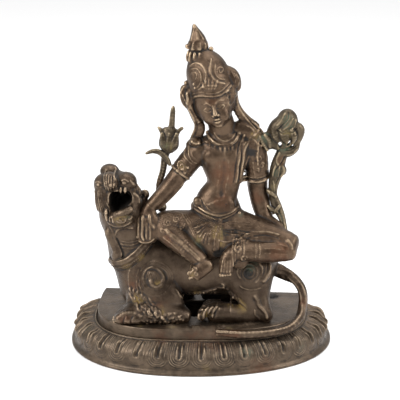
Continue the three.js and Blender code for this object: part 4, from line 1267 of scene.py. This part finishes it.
# The raised leg: patterned cloth over the knee, its edge lines, a panel and bands down the shin.
figure.weave((-22, -6, 124), (16, 12, 9), 2.6, 0.33, 30)
for k in range(3):
    edge = [
        (-14.6 + 2.3 * k, 129.4 - 0.6 * k),
        (-10.5 + 2.0 * k, 124),
        (-3.4 + 1.9 * k, 113.6),
        (3 + 1.4 * k, 105),
    ]
    figure.line(edge, 0.7 - 0.1 * k, 0.5)
for x, z, outer in ((-26, 124.5, 3.0), (-19, 126.5, 2.6), (-13.6, 120, 2.4), (-29.8, 118.6, 2.2)):
    figure.swirl(x, z, outer, 0.6, 1.3, 120, 0.65)
for start, end in (((-26.5, 119.5), (-12.5, 110.5)), ((-29.5, 112.6), (-15.5, 103.0))):
    figure.line([start, ((start[0] + end[0]) / 2, (start[1] + end[1]) / 2 + 0.6), end], 0.7, 0.4)
figure.weave((-19.5, -17, 113), (9, 9, 6.5), 2.2, 0.4, -35)
for k in range(4):
    x, z = -12.6 + 1.9 * k, 110.4 - 1.7 * k
    figure.line([(x + 2.4, z + 1.2), (x, z - 1.6), (x - 3.2, z - 5.6)], 0.65, 0.3)
figure.line([(-27, 118.6), (-22, 114.8), (-16.8, 111.4), (-12.2, 108.2)], (1.8, 1.6), 1.4, sink=1.0)
figure.line([(-10.6, 107), (-6.4, 103.6), (-1.6, 99.6), (2.4, 96)], (1.9, 1.4), 1.2, sink=0.8)
for k in range(5):
    figure.line([(-13.5 + 3.6 * k, 98.5 - 2.6 * k), (-9.5 + 3.6 * k, 97.5 - 3.0 * k)], 0.5, 0.5)
for x, z, outer in ((-3.4, 87.6, 2.4), (-5.6, 83.6, 2.0), (0.4, 84.6, 1.9)):
    figure.swirl(x, z, outer, 0.5, 1.2, 40, 0.75)

# The folded leg: smooth above, the cloth's edge line along the thigh, bands at the shin and the hem.
edge = [(19.5, 109.5), (26, 109), (33, 110.5), (41, 113.2), (50, 115.4), (60, 115.8), (70, 113.8)]
figure.line(edge, 0.9, 0.4)
figure.line([(x, z - 2.6) for x, z in edge[2:]], 0.6, 0.4, cut=True, sink=0)
for x in (50.4, 53.6):
    figure.line([(x, 108.6), (x + 0.6, 103), (x, 97.4)], 0.55, 0.6)
for k in range(3):
    figure.line([(58, 108 - 3.4 * k), (68, 107.4 - 3.5 * k), (78, 105 - 3.2 * k)], 0.45, 0.5)
figure.weave((50, -18, 102.5), (8, 9, 7), 2.0, 0.35)
figure.line([(77.5, 109.5), (80.5, 106.5), (81.8, 103)], (1.3, 0.9), 1.4, sink=0.7)
for k in range(5):
    hem_fold = [(31.5 + 2.2 * k, 112 - 0.4 * k), (31 + 2.4 * k, 103), (31.5 + 1.7 * k, 91 + 0.9 * k)]
    figure.line(hem_fold, 0.85, 0.5)
figure.swirl(36, 106.4, 3.6, 0.8, 1.2, 100, 0.9)
figure.swirl(40.6, 97.5, 3.0, 0.7, 1.2, 10, 0.8)
for k in range(4):
    tendon = [(23.2 + 2.0 * k, 97), (22.2 + 2.2 * k, 91), (21.6 + 2.3 * k, 86)]
    figure.line(tendon, (0.5, 0.8), 0.8)
for k in range(5):
    figure.ball((20.8 + 2.1 * k, -29.0 + 0.35 * abs(k - 1), 83.4 + 0.2 * k), (1.35, 2.4, 1.7), 0.4)
    figure.ball((-5.6 + 1.8 * k, -30.2 + 0.5 * k, 80.6 + 0.5 * k), (1.2, 2.2, 1.5), 0.4)

# The skirt between the legs: a finely chased cloth, hanging tassels and folds spreading to the sides.
figure.weave((8, -4, 114), (17, 12, 15), 2.3, 0.65, 20)
figure.weave((38, -2, 120), (22, 12, 9), 2.4, 0.25, 10)
for k in range(3):
    tassel = [(18.2 + 0.9 * k, 123), (16.4 + 1.4 * k, 115), (15.2 + 1.8 * k, 107), (14.4 + 1.9 * k, 101)]
    figure.line(tassel, (0.8, 1.2), 0.4)
for k in range(6):
    angle = math.radians(196 + 13 * k)
    fold = [(12 + (5 + 9 * r) * math.cos(angle), 124 + (5 + 13 * r) * math.sin(angle)) for r in (0, 0.5, 1)]
    figure.line(fold, (0.5, 0.8), 0.6)
for k in range(6):
    spread = [(21 + 0.4 * k, 121.5 - 1.2 * k), (31 + k, 123 - 2.0 * k), (44 + 1.5 * k, 122.4 - 2.2 * k)]
    figure.line(spread, (0.7, 0.4), 0.6)

rider = figure.skin(
    "rider_cast",
    coppery=[
        (22, 2, 165, 16),
        (20, 0, 140, 9),
        (12, -8, 232, 7),
        (70, -14, 100, 14),
        (-24, -16, 113, 8),
        (50, 12, 140, 10),
    ],
    ochre=[
        (-14, 4, 170, 6),
        (17, -10, 116, 7),
        (22, -12, 106, 6),
        (-3, -27, 84, 6),
        (-12, 12, 196, 7),
        (8, -2, 282, 5),
        (48, 10, 200, 6),
        (10, 2, 128, 5),
        (0, -16, 112, 6),
    ],
    verdigris=[(0, -10, 104, 10), (54, 12, 196, 7), (36, 4, 126, 5), (40, -16, 94, 8)],
    # Painted shade: these spots darken the deep places of the skirt between the legs and a notch beside the
    # resting arm's sleeve.
    painted_shade_spots=[(1, -9, 102, 6), (20, -14, 97, 5), (6, -6, 116, 4), (24, -8, 112, 4), (45, 8, 184, 3)],
)
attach(rider, "root")
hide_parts("figure")
rider.data.materials.append(
    patinated(
        "rider_patina",
        ground_tone=colour(96, 78, 62),
        deep_tone=colour(68, 53, 41),
        worn_tone=colour(164, 142, 116),
        copper_tone=colour(96, 62, 44),
        dirt_tone=colour(124, 101, 54),
        green_tone=colour(62, 72, 54),
    )
)

# Sword on a lotus, at the left: a short upright blade in a flower's cup with two sepals, on a stem that
# passes behind the forearm down to the thigh. A separate casting pinned to the rider.

sword = Wax((-52, 2, 124), (-12, 22, 225), 0.4)
sword.limb(
    [
        (-24.8, 12, 197, 3.4, 1.7),
        (-24, 12, 206, 2.6, 1.5),
        (-23, 12, 217.6, 2.1, 1.4),
        (-22.5, 12, 222, 0.7, 0.7),
    ],
    0.6,
)
calyx = [
    (-27.6, 12, 182, 4.6, 3.8),
    (-26.9, 12, 186.5, 8.3, 5.8),
    (-26.3, 12, 193, 8.2, 6),
    (-25.4, 12, 200.6, 6.8, 4.6),
]
sword.limb(calyx, 1)
sword.limb([(-31, 10, 197, 2.4, 2.4), (-33.4, 10.6, 201, 1.7, 1.5), (-36, 11.4, 203.2, 0.8, 0.8)], 0.8)
sword.limb([(-20.6, 10, 196, 2.4, 2.4), (-17.8, 10.6, 200.6, 1.5, 1.4), (-14.6, 11.4, 203, 1.3, 1.0)], 0.8)
for x, lean in ((-30.6, -1.6), (-26.2, 0.6), (-21.8, 2.6)):
    petal = [(x - 0.6 * lean, 8.2, 184.6, 1.8), (x, 6.2, 190, 3.1, 1.8), (x + lean, 7.2, 199, 1.5, 1.2)]
    sword.limb(petal, 0.5)
sword.line([(-23.8, 202), (-23.2, 210), (-22.6, 219)], 0.45, 0.3)
stem = [
    (-28.4, 12, 184, 3.4),
    (-30.6, 12.4, 174, 2.9),
    (-32.2, 12.4, 163, 2.7),
    (-35.4, 11.4, 151, 2.7),
    (-34.6, 9, 136, 3.2),
]
sword.limb(stem, 1)
sword.ball((-33, 8.6, 131.4), (4.4, 4, 4.4), 1)
leaf = [
    (-25.6, 9.6, 170, 1.6, 1.4),
    (-29, 8.6, 176.4, 2.5, 1.6),
    (-34.4, 8.6, 181.4, 2.4, 1.6),
    (-40.6, 9.6, 182, 1.9, 1.4),
    (-46.6, 11, 179.4, 1.1, 0.9),
]
sword.limb(leaf, 0.8)
sword.line([(-25, 171.6), (-28.6, 177.8), (-34, 183), (-40.4, 183.2)], 0.5, 0.3)
sword.line([(-32.4, 172), (-33.6, 163), (-36.4, 154)], 0.5, 0.4, cut=True, sink=0)
sword_piece = sword.skin("sword_on_lotus", [(-33, 10, 150, 14)], [(-26, 8, 188, 7)], [(-30, 8, 188, 6)])
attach(sword_piece, "root")
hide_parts("sword_lotus")

# Open lotus at the right: a domed flower on a knotted stalk, with an arm to the shoulder, a petal and a
# leaf turned down, and a loop down to the knee. Also a separate casting.

spray = Wax((46, 2, 106), (94, 30, 224), 0.45)
spray.ball((75.4, 16, 208.6), (9.4, 9, 11.8), 1)
spray.limb(
    [(60, 15, 200, 2.6, 4), (65, 14, 205, 5, 6.4), (70.5, 13.6, 211, 4.6, 6), (75, 15, 218, 2, 3)], 0.8
)
spray.limb([(73, 16, 186, 3, 4), (73, 16, 190, 7, 6.4), (74, 16, 197, 11.4, 8.6), (74.6, 16, 203, 11, 9)], 1)
spray.limb(
    [(81, 14, 207, 3, 4), (86, 14, 203.6, 4.2, 4), (85.4, 15, 197, 4.2, 3.6), (83.4, 15, 190, 2.8, 3)], 0.8
)
spray.limb([(88.6, 14.6, 203.4, 1.4, 3), (87.6, 14.6, 199, 1.3, 3), (85.2, 14.6, 192, 1.3, 3)], 0.3)
spray.limb([(63, 11, 204.5, 2.4), (66, 9.4, 198, 3.6, 3), (70.4, 9.4, 191.5, 1.8, 2)], 0.6)
spray.limb([(70, 8.6, 203.5, 1.6), (73.5, 7.8, 197.5, 4.2, 3), (76.6, 9, 191, 1.6, 2)], 0.6)
spray.limb([(79, 8.6, 204, 1.6), (81.4, 8.8, 198, 3, 3), (80.4, 10, 192, 1.4, 2)], 0.6)
spray.limb(
    [(52.6, 15, 195.5, 3.8, 4.6), (58, 14.6, 192.4, 8, 5), (63.4, 14.6, 191.5, 6.6, 5), (68, 15, 186, 3, 4)],
    1.2,
)
spray.limb([(56, 11, 198, 1.4), (60, 10, 194, 2.2), (61, 10.6, 187.5, 1.4)], 0.6)
spray.limb([(51.5, 10.6, 197.6, 1.1), (55, 9.6, 191, 1.5), (59, 10.6, 184.4, 1.2)], 0.5)
spray.limb(
    [(72, 15, 180.5, 3.6, 4), (78, 14, 182.4, 3.8, 3.6), (83.2, 14.6, 186, 2.8, 3), (84.8, 15, 192, 2)], 1
)
stalk = [
    (73.4, 16, 192, 2.4, 4),
    (72.4, 16, 187, 3.4, 4),
    (71, 16, 180, 5, 4.6),
    (68.6, 16, 172, 5.8, 4.8),
    (67, 16.4, 164.5, 6, 4.6),
    (65, 17.4, 155, 4.8, 4.2),
    (64, 18.6, 146, 3.8, 4),
    (64.4, 19.6, 138, 3.6, 4),
]
spray.limb(stalk, 1)
spray.ball((72.2, 14.4, 165.6), (3.6, 3.6, 4.6), 0.8)
spray.limb([(71.6, 12.4, 170.4, 1.2), (73.4, 11.6, 166, 1.4), (71, 12, 160.6, 1)], 0.4)
spray.line([(69.6, 182), (67, 175.5), (69.4, 169), (68.4, 161)], (1.3, 0.8), 0.5)
spray.line([(73.6, 178.6), (71.6, 173.8), (66, 166), (63.6, 157)], 0.7, 0.4, cut=True, sink=0)
spray.line([(66, 170.5), (64, 163), (64.6, 154), (65.8, 147)], (1.0, 0.8), 0.5)
spray.line([(68.6, 158.4), (66.2, 151.6), (66.6, 145)], 0.6, 0.4, cut=True, sink=0)
spray.line([(76, 180.6), (80.6, 182), (84, 185.6)], 0.8, 0.4)
spray.line([(75, 184.6), (79.6, 185.6), (83.4, 188.6)], 0.6, 0.3, cut=True, sink=0)
loop = [
    (64.6, 19.4, 140, 3.6, 3.6),
    (67.6, 17.4, 131.5, 4.4, 3.2),
    (71.6, 14.6, 124, 3.4, 3),
    (74.2, 11, 116.6, 2.5, 2.8),
    (75.4, 7.6, 110, 2.6, 3),
]
spray.limb(loop, 0.8)
spray.limb([(60, 15.4, 132.5, 1.6), (64, 13.6, 129.4, 2), (68.4, 12.6, 128, 1.5)], 0.5)
spray.limb([(70.4, 12, 134.5, 1.2), (66.6, 12.4, 128.5, 1.6), (64, 13.6, 125.8, 0.9)], 0.5)
spray.limb([(59.4, 16, 147, 1.8), (62.6, 14, 144.6, 2.2), (66.6, 14.6, 141, 1.4)], 0.6)
spray.line([(69, 129.6), (72.4, 122.6), (74.2, 114)], 0.6, 0.4, cut=True, sink=0)
spray.line([(66.6, 207.6), (70.4, 211.6), (73.4, 217.4)], 0.9, 0.5)
spray.line([(67.6, 204.2), (72, 208.6), (76, 213.4), (76.4, 218.6)], 0.6, 0.4, cut=True, sink=0)
spray.line([(72.6, 204), (76.6, 207.6), (80, 213.6)], 0.9, 0.6)
spray.line([(78.6, 203.6), (81.4, 207), (82.6, 212)], 0.8, 0.6)
spray.line([(67, 202.8), (73, 201), (80, 202), (84, 205)], 0.6, 0.4, cut=True, sink=0)
for x, z, wide, tall in ((69.6, 190, 1.7, 3.2), (77.2, 191.4, 1.3, 3.2)):
    spray.ball((x, 16, z), (wide, 24, tall), 0.5, turn=24 if x > 75 else 0, cut=True)
spray_piece = spray.skin(
    "lotus_spray_cast",
    coppery=[(70, 12, 176, 7)],
    ochre=[(74, 8, 200, 6), (66, 12, 150, 5)],
    verdigris=[(76, 6, 212, 10), (56, 10, 196, 7), (74, 10, 188, 8), (74, 10, 125, 6), (68, 14, 164, 6)],
)
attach(spray_piece, "root")
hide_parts("lotus_spray")
spray_patina = patinated(
    "spray_patina",
    ground_tone=colour(92, 81, 66),
    deep_tone=colour(64, 55, 43),
    worn_tone=colour(150, 134, 108),
    copper_tone=colour(90, 62, 44),
    dirt_tone=colour(112, 96, 56),
    green_tone=colour(72, 86, 64),
)
sword_piece.data.materials.append(spray_patina)
spray_piece.data.materials.append(spray_patina)

# Camera, floor and light. A long lens looks down a little from the front, the floor and the backdrop are
# one pale surface, and wide soft lamps stand at both sides and above.

sight = np.array([-1.7, 41.5, 128.0]) * metre
sight_distance = 1.25
turn_right = math.radians(4.0)
rise = math.radians(18.0)
level = math.cos(rise)
back = np.array([math.sin(turn_right) * level, -math.cos(turn_right) * level, math.sin(rise)])
camera = bpy.data.objects.new("camera", bpy.data.cameras.new("camera"))
camera.data.lens = 125.0
camera.data.sensor_width = 36.0
camera.data.clip_start = 0.05
camera.data.clip_end = 30
camera.location = sight + back * sight_distance
camera.rotation_mode = "QUATERNION"
camera.rotation_quaternion = Vector(-back).to_track_quat("-Z", "Y")
bpy.context.scene.collection.objects.link(camera)
bpy.context.scene.camera = camera

floor_half = 4500.0
floor_corners = np.array([(-1, -1, 0), (1, -1, 0), (1, 1, 0), (-1, 1, 0)]) * floor_half
floor = make_piece("floor", floor_corners, [0, 1, 2, 3], [4], {})
paint = bpy.data.materials.new("pale_floor")
paint.use_nodes = True
painted = paint.node_tree.nodes["Principled BSDF"]
painted.inputs["Base Color"].default_value = (0.93, 0.93, 0.93, 1)
painted.inputs["Roughness"].default_value = 0.9
floor.data.materials.append(paint)

world = bpy.data.worlds.new("studio")
world.use_nodes = True
background = world.node_tree.nodes["Background"]
background.inputs["Color"].default_value = (1.0, 1.0, 1.0, 1)
background.inputs["Strength"].default_value = 0.42
bpy.context.scene.world = world


def lamp(name, place, aim, width, height, power):
    """A soft rectangular lamp at a place, in metres, turned towards an aim point."""
    light = bpy.data.lights.new(name, "AREA")
    light.shape = "RECTANGLE"
    light.size, light.size_y, light.energy = width, height, power
    holder = bpy.data.objects.new(name, light)
    holder.location = place
    holder.rotation_mode = "QUATERNION"
    holder.rotation_quaternion = (Vector(aim) - Vector(place)).to_track_quat("-Z", "Y")
    bpy.context.scene.collection.objects.link(holder)


lamp("left_softbox", (-1.0, -0.8, 0.85), (0, 0, 0.12), 0.45, 0.8, 16)
lamp("right_softbox", (1.1, -0.35, 0.75), (0, 0, 0.12), 0.4, 0.8, 9)
lamp("top_softbox", (0.1, 0.3, 1.4), (0, 0, 0.1), 1.0, 0.6, 9)
overhead = bpy.data.lights.new("overhead", "SUN")
overhead.energy = 1.55
overhead.angle = math.radians(120)
overhead_holder = bpy.data.objects.new("overhead", overhead)
overhead_holder.rotation_euler = (math.radians(-18), 0, 0)
bpy.context.scene.collection.objects.link(overhead_holder)
bpy.context.scene.view_settings.view_transform = "Standard"
